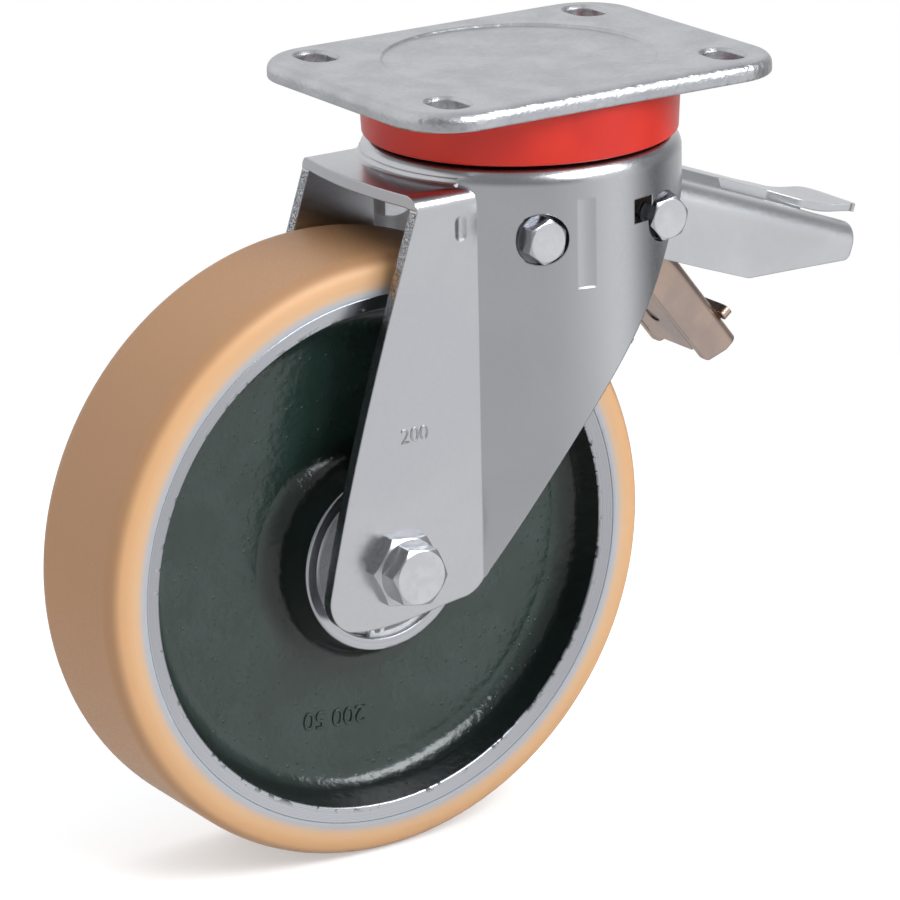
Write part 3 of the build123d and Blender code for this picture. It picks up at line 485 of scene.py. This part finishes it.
@dataclass(frozen=True)
class Polyurethane(Finish):
    """Cast tan tyre, browner on its tread and grey where it meets the rim."""

    tread: tuple[float, float, float, float] = rgb(153, 115, 82)
    side: tuple[float, float, float, float] = rgb(194, 150, 107)
    pale: tuple[float, float, float, float] = rgb(190, 156, 122)
    edge: tuple[float, float, float, float] = rgb(150, 156, 164)
    clouds: tuple[float, float, float, float] = rgb(170, 128, 88)
    wheel_r: float = WHEEL_R * MM
    band_r: float = 0.088
    scales: tuple[float, float] = (1200.0, 18.0)
    cloud_share: float = 0.1
    roughness: tuple[float, float] = (0.4, 0.52)
    relief: float = 0.00002
    specular: float = 0.4
    glow: float = 0.1
    glow_reach: tuple[float, float, float] = (0.006, 0.003, 0.0015)
    glow_scale: float = 0.6

    def build(self, effects: Effects) -> bpy.types.Material:
        """Makes the material.

        Args:
            effects: the shared groups.

        Returns:
            The material.
        """
        material, graph, shader = self.start()
        vector = graph.place(AXLE.centre())
        rings = graph.add("Group", {0: vector}, node_tree=effects.rings)
        radius = rings.outputs["Radius"]
        grain = self.grain(graph, effects, vector, self.scales)
        to_side = graph.span(radius, self.band_r + 0.002, self.wheel_r - 0.004)
        to_tread = graph.span(radius, self.wheel_r - 0.0035, self.wheel_r - 0.0008)
        to_band = graph.span(radius, self.band_r + 0.0040, self.band_r + 0.0004)
        colour = graph.tint(to_side, self.pale, self.side)
        colour = graph.tint(to_tread, colour, self.tread)
        colour = graph.tint(to_band, colour, self.edge)
        cloudy = graph.span(grain.outputs["Cloud"], *NOISE_SPAN, 0.0, self.cloud_share)
        colour = graph.tint(cloudy, colour, self.clouds)
        graph.put(shader.inputs["Base Color"], colour)
        graph.put(shader.inputs["Roughness"], graph.span(grain.outputs["Fine"], *NOISE_SPAN, *self.roughness))
        graph.put(shader.inputs["Normal"], self.bump(graph, grain.outputs["Height"], self.relief))
        shader.inputs["Subsurface Weight"].default_value = self.glow
        shader.inputs["Subsurface Radius"].default_value = self.glow_reach
        shader.inputs["Subsurface Scale"].default_value = self.glow_scale
        shader.inputs["Specular IOR Level"].default_value = self.specular
        return material


@dataclass(frozen=True)
class PaintedIron(Finish):
    """Dark green paint over a sand casting, with the rim and hub faces turned bare and painted shade in the
    dish's corners.
    """

    paint: tuple[float, float, float, float] = rgb(34, 50, 45)
    dark: tuple[float, float, float, float] = rgb(27, 42, 37)
    # Painted shade: near-black paint colour for the dish's corners by the hub and the rim.
    painted_corner_shade: tuple[float, float, float, float] = rgb(13, 20, 18)
    bare: tuple[float, float, float, float] = rgb(196, 198, 202)
    worn: tuple[float, float, float, float] = rgb(164, 167, 172)
    ring_r: float = 0.0829
    ring_y: float = 0.0232
    hub_r: float = 0.0300
    hub_y: float = 0.0224
    bore_r: float = 0.0276
    scales: tuple[float, float] = (420.0, 60.0)
    cloud_span: tuple[float, float] = (0.35, 0.7)
    roughness: float = 0.24
    specular: float = 0.42
    coat: float = 0.45
    coat_roughness: float = 0.18
    peel_scale: float = 190.0
    pit_scale: float = 520.0
    pit_amount: float = 0.16
    pit_share: float = 0.5
    fine_share: float = 0.9
    lathe_share: float = 0.02
    relief: float = 0.00034
    chip_scale: float = 260.0
    chip_limit: float = 0.58
    chip_band: tuple[float, float] = (0.002, 0.0021)

    def build(self, effects: Effects) -> bpy.types.Material:
        """Makes the material.

        Args:
            effects: the shared groups.

        Returns:
            The material.
        """
        material, graph, shader = self.start()
        vector = graph.place(AXLE.centre())
        rings = graph.add("Group", {0: vector}, node_tree=effects.rings)
        metal = self._bare_mask(graph, rings, vector)
        grain = self.grain(graph, effects, vector, self.scales)
        paint = graph.tint(graph.span(grain.outputs["Cloud"], *self.cloud_span), self.dark, self.paint)
        # Painted shade: the paint darkens to near-black at the foot of the hub boss and of the rim wall,
        # where shade falls.
        hub_foot_shade = graph.span(rings.outputs["Radius"], self.hub_r + 0.014, self.hub_r + 0.002)
        rim_foot_shade = graph.span(rings.outputs["Radius"], self.ring_r - 0.008, self.ring_r - 0.001)
        paint = graph.tint(graph.maths("ADD", hub_foot_shade, rim_foot_shade, clamp=True), paint, self.painted_corner_shade)
        steel = graph.tint(graph.span(rings.outputs["Lathe"], *NOISE_SPAN), self.worn, self.bare)
        graph.put(shader.inputs["Base Color"], graph.tint(metal, paint, steel))
        graph.put(shader.inputs["Metallic"], metal)
        shader.inputs["Roughness"].default_value = self.roughness
        shader.inputs["Specular IOR Level"].default_value = self.specular
        shader.inputs["Coat Weight"].default_value = self.coat
        shader.inputs["Coat Roughness"].default_value = self.coat_roughness
        peel = graph.noise(vector, self.peel_scale, 2.0)
        spots = {"Vector": vector, "Scale": self.pit_scale, "Amount": self.pit_amount}
        pits = graph.add("Group", spots, node_tree=effects.spots)
        height = graph.maths("ADD", peel, graph.maths("MULTIPLY", pits.outputs["Mask"], self.pit_share))
        height = graph.maths("ADD", height, graph.maths("MULTIPLY", grain.outputs["Fine"], self.fine_share))
        height = graph.tint(metal, height, graph.maths("MULTIPLY", rings.outputs["Lathe"], self.lathe_share))
        eased = graph.add("Group", node_tree=effects.edges)
        graph.put(shader.inputs["Normal"], self.bump(graph, height, self.relief, eased.outputs["Normal"]))
        return material

    def _bare_mask(
        self, graph: Graph, rings: bpy.types.Node, vector: bpy.types.NodeSocket
    ) -> bpy.types.NodeSocket:
        """Mask of the turned faces, chipped along the rim's edges.

        Args:
            graph: the material's graph.
            rings: the wheel_rings node.
            vector: the wheel's own coordinates.

        Returns:
            The mask's socket.
        """
        radius, out = rings.outputs["Radius"], rings.outputs["Out"]
        on_rim = graph.maths("GREATER_THAN", radius, self.ring_r)
        rim = graph.maths("MULTIPLY", on_rim, graph.maths("GREATER_THAN", out, self.ring_y))
        on_hub = graph.maths("LESS_THAN", radius, self.hub_r)
        hub = graph.maths("MULTIPLY", on_hub, graph.maths("GREATER_THAN", out, self.hub_y))
        bore = graph.maths("LESS_THAN", radius, self.bore_r)
        whole = graph.maths("MAXIMUM", graph.maths("MAXIMUM", rim, hub), bore)
        inwards, outwards = self.chip_band
        wobble = graph.noise(vector, self.chip_scale, 4.0)
        inner = graph.span(radius, self.ring_r + outwards, self.ring_r)
        near_rim = graph.maths("MULTIPLY", inner, graph.maths("GREATER_THAN", radius, self.ring_r - inwards))
        chips = graph.maths("MULTIPLY", graph.maths("GREATER_THAN", wobble, self.chip_limit), near_rim)
        return graph.maths("SUBTRACT", whole, chips, clamp=True)


@dataclass(frozen=True)
class GroundSteel(Finish):
    """Ground and polished bearing steel."""

    tone: tuple[float, float, float, float] = rgb(205, 206, 208)
    shade: tuple[float, float, float, float] = rgb(186, 188, 192)
    roughness: float = 0.22
    metallic: float = 1.0
    roughness_fall: float = 0.03
    roughness_rise: float = 0.05
    scales: tuple[float, float] = (1600.0, 90.0)
    relief: float = 0.000004

    def build(self, effects: Effects) -> bpy.types.Material:
        """Makes the material.

        Args:
            effects: the shared groups.

        Returns:
            The material.
        """
        material, graph, shader = self.start()
        grain = self.grain(graph, effects, graph.place(), self.scales)
        eased = graph.add("Group", node_tree=effects.edges)
        share = graph.span(grain.outputs["Cloud"], *NOISE_SPAN)
        graph.put(shader.inputs["Base Color"], graph.tint(share, self.shade, self.tone))
        shader.inputs["Metallic"].default_value = self.metallic
        limits = (self.roughness - self.roughness_fall, self.roughness + self.roughness_rise)
        graph.put(shader.inputs["Roughness"], graph.span(grain.outputs["Fine"], *NOISE_SPAN, *limits))
        normal = self.bump(graph, grain.outputs["Height"], self.relief, eased.outputs["Normal"])
        graph.put(shader.inputs["Normal"], normal)
        return material


class Dresser:
    """Puts finishes on nodes and looks after new pieces."""

    def __init__(self) -> None:
        """Builds the shared groups."""
        self.effects = Effects()

    def dress(self, node: str, material: bpy.types.Material) -> None:
        """Gives a CAD node its finish.

        Args:
            node: the node's name.
            material: its material.
        """
        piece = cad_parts[node]
        if not piece.material_slots:
            piece.data.materials.append(material)
        for slot in piece.material_slots:
            slot.link = "OBJECT"
            slot.material = material
        LOG.info("dressed %s", node)

    def place(
        self, name: str, mesh: bpy.types.Mesh, material: bpy.types.Material, body: Body, slot: Slot
    ) -> bpy.types.Object:
        """Puts a new piece on the body it moves with.

        Args:
            name: the piece's name.
            mesh: its mesh, already in place.
            material: its finish.
            body: the moving group it rides on.
            slot: the finish slot it belongs to; not used.

        Returns:
            The new piece.
        """
        piece = bpy.data.objects.new(name, mesh)
        bpy.context.scene.collection.objects.link(piece)
        mesh.materials.append(material)
        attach(piece, body.value)
        LOG.info("made %s", name)
        return piece


@dataclass(frozen=True)
class HexBolt:
    """Hexagon bolt lying along Y with its head on the near side; sizes in millimetres.

    Each corner of one thread is a share of the pitch and a share of the thread's depth.
    """

    node: str
    centre: tuple[float, float]
    across: float
    under_head: float
    head_height: float
    turn_deg: float
    shank_r: float
    end: float
    thread_length: float
    pitch: float
    chamfer_deg: float = 30.0
    crown_share: float = 0.96
    head_steps: int = 96
    shank_steps: int = 56
    thread_depth_share: float = 0.54
    thread: tuple[tuple[float, float], ...] = ((0.10, 0.0), (0.45, 1.0), (0.60, 1.0), (0.95, 0.0))
    tip_inset: float = 0.2
    first_crest_inset: float = 0.1
    weld: float = 0.0005

    def mesh(self) -> bpy.types.Mesh:
        """Builds the bolt in place.

        Returns:
            The finished mesh.
        """
        form = bmesh.new()
        self._head(form)
        self._shank(form)
        bmesh.ops.remove_doubles(form, verts=form.verts, dist=self.weld)
        bmesh.ops.recalc_face_normals(form, faces=form.faces)
        for face in form.faces:
            face.smooth = face.calc_center_median().z < 0
        form.transform(Matrix((
            (MM, 0, 0, self.centre[0] * MM), (0, 0, -MM, -self.under_head * MM),
            (0, MM, 0, self.centre[1] * MM), (0, 0, 0, 1))))
        mesh = bpy.data.meshes.new(self.node + "_finished")
        form.to_mesh(mesh)
        form.free()
        return mesh

    def _reach(self, angle: float) -> float:
        """Distance from the axis to the hexagon's side at an angle."""
        from_flat = (math.degrees(angle) - self.turn_deg) % 60 - 30
        return self.across / 2 / math.cos(math.radians(from_flat))

    def _head(self, form: bmesh.types.BMesh) -> None:
        """Hexagon with its corners turned off.

        Args:
            form: the mesh to add to.
        """
        crown = self.across / 2 * self.crown_share
        slope = math.tan(math.radians(self.chamfer_deg))
        bmesh.ops.create_circle(form, cap_ends=True, segments=self.head_steps, radius=1.0)
        for vert in form.verts:
            angle = math.atan2(vert.co.y, vert.co.x)
            reach = self._reach(angle)
            vert.co = (reach * math.cos(angle), reach * math.sin(angle), 0.0)
        wall = bmesh.ops.extrude_edge_only(form, edges=form.edges[:])["geom"]
        for vert in (part for part in wall if isinstance(part, bmesh.types.BMVert)):
            vert.co.z = self.head_height - (vert.co.xy.length - crown) * slope
        rim = [part for part in wall if isinstance(part, bmesh.types.BMEdge) and len(part.link_faces) == 1]
        top = bmesh.ops.extrude_edge_only(form, edges=rim)["geom"]
        for vert in (part for part in top if isinstance(part, bmesh.types.BMVert)):
            flat = vert.co.xy.normalized() * crown
            vert.co = (flat.x, flat.y, self.head_height)
        brim = [part for part in top if isinstance(part, bmesh.types.BMEdge) and len(part.link_faces) == 1]
        bmesh.ops.contextual_create(form, geom=brim)

    def _shank(self, form: bmesh.types.BMesh) -> None:
        """Round shank, threaded at its end.

        Args:
            form: the mesh to add to.
        """
        depth = self.pitch * self.thread_depth_share
        bottom = -(self.under_head + self.end)
        height = bottom + depth
        tip_r = self.shank_r - depth - self.tip_inset
        profile = [(0.0, bottom), (tip_r, bottom), (self.shank_r - self.first_crest_inset, height)]
        while height < bottom + self.thread_length:
            for along, cut in self.thread:
                profile.append((self.shank_r - depth * cut, height + self.pitch * along))
            height += self.pitch
        profile += [(self.shank_r, height + self.pitch), (self.shank_r, 0.02)]
        verts = [form.verts.new((radius, 0.0, level)) for radius, level in profile]
        edges = [form.edges.new(pair) for pair in zip(verts, verts[1:])]
        bmesh.ops.spin(
            form, geom=verts + edges, cent=(0, 0, 0), axis=(0, 0, 1), angle=math.tau, steps=self.shank_steps,
            use_merge=True)


def brake_bolt(node: str, x: float, turn_deg: float) -> HexBolt:
    """M8 bolt of the brake.

    Args:
        node: the CAD node it replaces.
        x: its place along the fork.
        turn_deg: how far its head is turned.

    Returns:
        The bolt.
    """
    return HexBolt(
        node, centre=(x, BRAKE_BOLT_Z), across=13.0, under_head=44.937, head_height=5.3, turn_deg=turn_deg,
        shank_r=4.0, end=53.237, thread_length=9.5, pitch=1.25)


@dataclass(frozen=True)
class SizeMark:
    """Plain size number raised on a face that looks along -Y; sizes in millimetres."""

    name: str
    text: str
    centre: tuple[float, float, float]
    height: float
    raised: float
    turn_deg: float = 0.0
    bevel_share: float = 0.3
    thinning_share: float = 0.01

    def mesh(self) -> bpy.types.Mesh:
        """Builds the number in place.

        Returns:
            The finished mesh.
        """
        curve = bpy.data.curves.new(self.name, "FONT")
        curve.body = self.text
        curve.align_x = "CENTER"
        curve.align_y = "CENTER"
        curve.size = self.height * MM
        curve.extrude = self.raised * MM
        curve.bevel_depth = self.raised * self.bevel_share * MM
        curve.bevel_resolution = 2
        curve.offset = -self.thinning_share * self.height * MM
        holder = bpy.data.objects.new(self.name + "_curve", curve)
        bpy.context.scene.collection.objects.link(holder)
        mesh = bpy.data.meshes.new_from_object(holder.evaluated_get(bpy.context.evaluated_depsgraph_get()))
        bpy.data.objects.remove(holder)
        bpy.data.curves.remove(curve)
        place = Matrix.Translation(Vector(self.centre) * MM)
        mesh.transform(place @ Matrix.Rotation(math.radians(90), 4, "X") @ Matrix.Rotation(
            math.radians(self.turn_deg), 4, "Z"))
        mesh.name = self.name
        return mesh


@dataclass(frozen=True)
class ShearBurr:
    """Ragged lip left by the shear on the fork's front edge; sizes in millimetres."""

    high: tuple[float, float] = (10.7, -77.0)
    low: tuple[float, float] = (7.5, -85.2)
    wall_r: float = 51.4
    lumps: tuple[float, ...] = (0.35, 0.6, 0.8, 0.5, 0.9, 0.7, 0.45, 0.65, 0.4)
    lump_shape: tuple[float, float, float, float] = (0.7, 0.5, 1.2, 1.0)
    lean_step: float = 0.9

    def mesh(self) -> bpy.types.Mesh:
        """Builds the burr in place.

        Returns:
            The finished mesh.
        """
        form = bmesh.new()
        for index, size in enumerate(self.lumps):
            share = index / (len(self.lumps) - 1)
            x = self.high[0] + (self.low[0] - self.high[0]) * share
            z = self.high[1] + (self.low[1] - self.high[1]) * share
            y = -math.sqrt(self.wall_r ** 2 - x ** 2)
            lean = Matrix.Rotation(self.lean_step * index, 4, "Y") @ Matrix.Diagonal(self.lump_shape)
            place = Matrix.Translation(Vector((x, y, z)) * MM) @ lean
            bmesh.ops.create_icosphere(form, subdivisions=2, radius=size * MM, matrix=place)
        bmesh.ops.recalc_face_normals(form, faces=form.faces)
        mesh = bpy.data.meshes.new("shear_burr")
        form.to_mesh(mesh)
        form.free()
        return mesh


@dataclass
class PlateSide:
    """Plate, seal and swivel bearing."""

    forged: Plating = Plating(
        "forged_zinc", tone=rgb(192, 194, 197), shade=rgb(178, 180, 184), roughness=0.36,
        roughness_spread=0.1, fine_scale=600.0, cloud_scale=60.0, relief=0.00002, fine_share=0.25,
        ease=0.0008, rolled=0.0004)
    seal: MouldedPlastic = MouldedPlastic("orange_seal")
    race: GroundSteel = GroundSteel("race_steel")
    fixing: Plating = Plating("king_pin_zinc", roughness=0.3)
    race_nodes: tuple[str, ...] = ("upper_balls", "lower_balls", "lower_race")
    fixing_nodes: tuple[str, ...] = ("king_pin_washer", "king_pin_nut")

    def dress(self, dresser: Dresser) -> None:
        """Gives each node its finish.

        Args:
            dresser: the shared helper.
        """
        dresser.dress("top_plate", self.forged.build(dresser.effects))
        dresser.dress("dust_seal", self.seal.build(dresser.effects))
        steel = self.race.build(dresser.effects)
        for node in self.race_nodes:
            dresser.dress(node, steel)
        zinc = self.fixing.build(dresser.effects)
        for node in self.fixing_nodes:
            dresser.dress(node, zinc)


@dataclass
class ForkSide:
    """Fork with its axle and brake bolts."""

    sheet: Plating = Plating(
        "fork_zinc", tone=rgb(191, 192, 195), shade=rgb(187, 188, 192), roughness=0.24, cloud_scale=22.0,
        relief=0.00001, ease=0.0007, sheared=True)
    fixing: Plating = Plating(
        "bolt_zinc", tone=rgb(206, 207, 210), shade=rgb(196, 198, 202), roughness=0.24, cloud_scale=130.0,
        ease=0.0004)
    # Painted shade: the brake washers are darkened grey zinc so they stand in for the dark gap under the
    # brake bolts' heads.
    painted_shade_washers: Plating = Plating(
        "washer_painted_shade", tone=rgb(118, 119, 124), shade=rgb(96, 97, 102), roughness=0.32, cloud_scale=130.0)
    steel: GroundSteel = GroundSteel("spacer_steel")
    bolts: tuple[HexBolt, ...] = (
        brake_bolt("brake_anchor_bolt", -BRAKE_BOLT_X, turn_deg=21.0),
        brake_bolt("brake_pivot_bolt", BRAKE_BOLT_X, turn_deg=10.0),
        HexBolt(
            "axle_bolt", centre=(AXLE.x, AXLE.z), across=18.0, under_head=38.0, head_height=7.2,
            turn_deg=-8.0, shank_r=6.0, end=49.1, thread_length=17.0, pitch=1.75))
    mark: SizeMark = SizeMark("fork_size_mark", "200", centre=(-64.5, -34.0, -106.7), height=7.0, raised=0.14)
    burr: ShearBurr = ShearBurr()
    fixing_nodes: tuple[str, ...] = (
        "brake_nuts", "anchor_tube", "pivot_tube",
        "pivot_spacers_outer", "pivot_spacers_inner", "axle_tube", "axle_washer", "axle_nut")
    steel_nodes: tuple[str, ...] = (
        "wheel_spacer_near", "wheel_spacer_far", "bearing_spacer", "bearing_inner_near", "bearing_inner_far")

    def dress(self, dresser: Dresser) -> None:
        """Gives each node its finish.

        Args:
            dresser: the shared helper.
        """
        sheet = self.sheet.build(dresser.effects)
        dresser.dress("fork", sheet)
        dresser.dress("brake_washers", self.painted_shade_washers.build(dresser.effects))
        zinc = self.fixing.build(dresser.effects)
        for node in self.fixing_nodes:
            dresser.dress(node, zinc)
        steel = self.steel.build(dresser.effects)
        for node in self.steel_nodes:
            dresser.dress(node, steel)
        for bolt in self.bolts:
            piece = dresser.place(bolt.node + "_finished", bolt.mesh(), zinc, Body.FORK, Slot.BOLT_ZINC)
            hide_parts(bolt.node)
        dresser.place(self.mark.name, self.mark.mesh(), sheet, Body.FORK, Slot.FORK_ZINC)
        dresser.place("shear_burr", self.burr.mesh(), sheet, Body.FORK, Slot.FORK_ZINC)


@dataclass
class Wheel:
    """Tyre, iron centre and the bearing parts that roll with it."""

    tyre: Polyurethane = Polyurethane("tan_polyurethane")
    mark: SizeMark = SizeMark(
        "wheel_size_mark", "200 50", centre=(-82.4, -10.0, -205.2), height=8.5, raised=0.4, turn_deg=175.0)
    iron: PaintedIron = PaintedIron("green_iron")
    # Painted light: the bearing parts in the hub's hollow are near-white and mostly non-metal, so the deep
    # hollow reads lit.
    steel: GroundSteel = GroundSteel(
        "bearing_steel", tone=rgb(236, 236, 237), shade=rgb(222, 223, 226), roughness=0.3, metallic=0.15)
    steel_nodes: tuple[str, ...] = (
        "bearing_outer_near", "bearing_outer_far", "bearing_balls_near", "bearing_balls_far",
        "bearing_shields_near", "bearing_shields_far", "circlip_near", "circlip_far")

    def dress(self, dresser: Dresser) -> None:
        """Gives each node its finish.

        Args:
            dresser: the shared helper.
        """
        dresser.dress("tread", self.tyre.build(dresser.effects))
        iron = self.iron.build(dresser.effects)
        dresser.dress("wheel_centre", iron)
        dresser.place(self.mark.name, self.mark.mesh(), iron, Body.WHEEL, Slot.IRON_GREEN)
        steel = self.steel.build(dresser.effects)
        for node in self.steel_nodes:
            dresser.dress(node, steel)


@dataclass
class Brake:
    """Pedal and brown lever."""

    plated: Plating = Plating(
        "pedal_zinc", tone=rgb(202, 203, 206), shade=rgb(194, 196, 199), roughness=0.32, cloud_scale=40.0)
    brown: Plating = Plating(
        "brown_zinc", tone=rgb(186, 164, 150), shade=rgb(168, 152, 144), roughness=0.34, cloud_scale=55.0,
        relief=0.00001)
    brown_nodes: tuple[str, ...] = ("brake_lever", "brake_shoe", "shoe_rivets")

    def dress(self, dresser: Dresser) -> None:
        """Gives each node its finish.

        Args:
            dresser: the shared helper.
        """
        dresser.dress("pedal", self.plated.build(dresser.effects))
        brown = self.brown.build(dresser.effects)
        for node in self.brown_nodes:
            dresser.dress(node, brown)


@dataclass(frozen=True)
class Lamp:
    """Soft box; sizes in metres, power in watts."""

    name: str
    stand: tuple[float, float, float]
    target: tuple[float, float, float]
    width: float
    height: float
    power: float
    mirrored: bool = False
    colour: tuple[float, float, float] = (0.93, 0.97, 1.0)

    def build(self) -> None:
        """Adds the lamp, shown in shiny pieces only if it is mirrored."""
        data = bpy.data.lights.new(self.name, "AREA")
        data.shape = "RECTANGLE"
        data.size = self.width
        data.size_y = self.height
        data.energy = self.power
        data.color = self.colour
        lamp = bpy.data.objects.new(self.name, data)
        lamp.location = self.stand
        lamp.visible_glossy = self.mirrored
        lamp.rotation_euler = (Vector(self.target) - Vector(self.stand)).to_track_quat("-Z", "Y").to_euler()
        bpy.context.scene.collection.objects.link(lamp)


@dataclass
class Studio:
    """Pale floor, soft lights and the camera."""

    camera_at: tuple[float, float, float] = (-0.82798, -1.23734, 0.35751)
    azimuth_deg: float = -32.84
    elevation_deg: float = 18.23
    roll_deg: float = -1.18
    lens: float = 190.5
    sensor: float = 36.0
    clip: tuple[float, float] = (0.05, 50.0)
    lamps: tuple[Lamp, ...] = (
        Lamp("overhead", (0.05, 0.05, 1.15), target=(0, 0, -0.1), width=1.3, height=1.3, power=8.0),
        Lamp("left", (-1.35, -0.35, 0.35), target=(-0.02, 0, -0.12), width=0.7, height=1.2, power=3.0),
        Lamp(
            "front", (0.46, -1.14, 0.91), target=(0, 0, -0.12), width=1.2, height=0.8, power=25.0,
            mirrored=True))
    floor_half: float = 6.0
    paper_level: float = 0.93
    paper_share: float = 0.74
    glow: float = 1.6
    fade: tuple[float, float] = (0.32, 0.6)
    floor_level: float = 0.8
    top_level: float = 0.75
    low_ring: tuple[tuple[float, float], ...] = (
        (-180, 0.66), (-120, 0.68), (-70, 0.68), (-10, 0.67), (0, 0.74), (16, 0.82), (24, 0.92), (35, 1.04),
        (42, 1.04), (48, 0.94), (57, 0.66), (66, 0.38), (77, 0.16), (90, 0.34), (105, 0.58), (143, 0.85),
        (180, 0.66))
    high_ring: tuple[tuple[float, float], ...] = (
        (-180, 0.90), (-170, 1.00), (-88, 1.00), (-78, 0.34), (-8, 0.30), (8, 0.42), (16, 0.98), (50, 1.00),
        (60, 0.30), (100, 0.35), (130, 0.85), (147, 0.90), (180, 0.90))
    blue_share: float = 1.01
    floor_to_low_deg: tuple[float, float] = (-75, -40)
    low_to_high_deg: tuple[float, float] = (-14, 8)
    high_to_top_deg: tuple[float, float] = (55, 75)

    def build(self) -> None:
        """Makes the whole studio."""
        self._camera()
        self._world()
        self._floor()
        for lamp in self.lamps:
            lamp.build()

    def _camera(self) -> None:
        """Sets the camera at its measured place."""
        a, e, r = (math.radians(v) for v in (self.azimuth_deg, self.elevation_deg, self.roll_deg))
        back = Vector((math.sin(a) * math.cos(e), -math.cos(a) * math.cos(e), math.sin(e)))
        level = Vector((math.cos(a), math.sin(a), 0.0))
        above = back.cross(level)
        right = level * math.cos(r) + above * math.sin(r)
        up = above * math.cos(r) - level * math.sin(r)
        data = bpy.data.cameras.new("camera")
        data.lens = self.lens
        data.sensor_width = self.sensor
        data.clip_start, data.clip_end = self.clip
        camera = bpy.data.objects.new("camera", data)
        camera.matrix_world = Matrix((
            (right.x, up.x, back.x, self.camera_at[0]), (right.y, up.y, back.y, self.camera_at[1]),
            (right.z, up.z, back.z, self.camera_at[2]), (0, 0, 0, 1)))
        bpy.context.scene.collection.objects.link(camera)
        bpy.context.scene.camera = camera

    def _ring(
        self, graph: Graph, turn: bpy.types.NodeSocket, levels: tuple[tuple[float, float], ...]
    ) -> bpy.types.NodeSocket:
        """Brightness of the studio right round the castor at one height.

        Args:
            graph: the world's graph.
            turn: azimuth from 0 to 1.
            levels: azimuth in degrees with its brightness.

        Returns:
            The ring's colour socket.
        """
        ramp = graph.add("ValToRGB", {0: turn})
        elements = ramp.color_ramp.elements
        while len(elements) < len(levels):
            elements.new(0.5)
        for element, (azimuth, level) in zip(elements, levels):
            element.position = (azimuth + 180) / 360
            element.color = (level, level, level * self.blue_share, 1)
        return ramp.outputs[0]

    def _world(self) -> None:
        """White to the eye; soft boxes and dark gaps to everything else."""
        world = bpy.data.worlds.new("studio")
        bpy.context.scene.world = world
        world.use_nodes = True
        world.node_tree.nodes.clear()
        graph = Graph(world.node_tree)
        part = graph.add("SeparateXYZ", {0: graph.add("TexCoord").outputs["Generated"]})
        backward = graph.maths("MULTIPLY", part.outputs[1], -1.0)
        angle = graph.maths("ARCTAN2", part.outputs[0], backward)
        turn = graph.maths("MULTIPLY_ADD", angle, 0.5 / math.pi)
        turn.node.inputs[2].default_value = 0.5
        lift = graph.maths("MULTIPLY", graph.maths("ARCSINE", part.outputs[2]), 180 / math.pi)
        floor = (self.floor_level, self.floor_level, self.floor_level, 1)
        top = (self.top_level, self.top_level, self.top_level, 1)
        low = self._ring(graph, turn, self.low_ring)
        high = self._ring(graph, turn, self.high_ring)
        colour = graph.tint(graph.span(lift, *self.floor_to_low_deg), floor, low)
        colour = graph.tint(graph.span(lift, *self.low_to_high_deg), colour, high)
        colour = graph.tint(graph.span(lift, *self.high_to_top_deg), colour, top)
        soft = graph.add("Background", {"Color": colour, "Strength": 1.0})
        white = graph.add("Background", {"Color": (1, 1, 1, 1), "Strength": 1.0})
        seen = graph.add("LightPath").outputs["Is Camera Ray"]
        mix = graph.add("MixShader", {0: seen, 1: soft.outputs[0], 2: white.outputs[0]})
        output = graph.add("OutputWorld")
        graph.put(output.inputs["Surface"], mix.outputs[0])

    def _floor(self) -> None:
        """White floor that keeps a light shadow."""
        mesh = bpy.data.meshes.new("floor")
        form = bmesh.new()
        level = Matrix.Translation((0, 0, FLOOR_Z))
        bmesh.ops.create_grid(form, x_segments=1, y_segments=1, size=self.floor_half, matrix=level)
        form.to_mesh(mesh)
        form.free()
        floor = bpy.data.objects.new("floor", mesh)
        bpy.context.scene.collection.objects.link(floor)
        floor.visible_glossy = False
        material = bpy.data.materials.new("white_floor")
        material.use_nodes = True
        material.node_tree.nodes.clear()
        graph = Graph(material.node_tree)
        paper = graph.add("BsdfDiffuse", {"Color": (self.paper_level, self.paper_level, self.paper_level, 1)})
        glow = graph.add("Emission", {"Color": (1, 1, 1, 1), "Strength": self.glow})
        lit = graph.add("MixShader", {0: self.paper_share, 1: glow.outputs[0], 2: paper.outputs[0]})
        far = graph.add("VectorMath", {0: graph.place()}, operation="LENGTH").outputs["Value"]
        plain = graph.add("Emission", {"Color": (1, 1, 1, 1), "Strength": 1.0})
        faded = graph.span(far, *self.fade)
        seen = graph.add("MixShader", {0: faded, 1: lit.outputs[0], 2: plain.outputs[0]})
        eye = graph.add("LightPath").outputs["Is Camera Ray"]
        mix = graph.add("MixShader", {0: eye, 1: paper.outputs[0], 2: seen.outputs[0]})
        output = graph.add("OutputMaterial")
        graph.put(output.inputs["Surface"], mix.outputs[0])
        mesh.materials.append(material)


def main() -> None:
    """Builds the castor's looks in order."""
    logging.basicConfig(level=logging.INFO, format="%(name)s %(message)s")
    bpy.context.scene.view_settings.view_transform = "Standard"
    dresser = Dresser()
    for part in (PlateSide(), ForkSide(), Wheel(), Brake()):
        part.dress(dresser)
        LOG.info("finished %s", type(part).__name__)
    Studio().build()


if __name__ == "__main__":
    main()
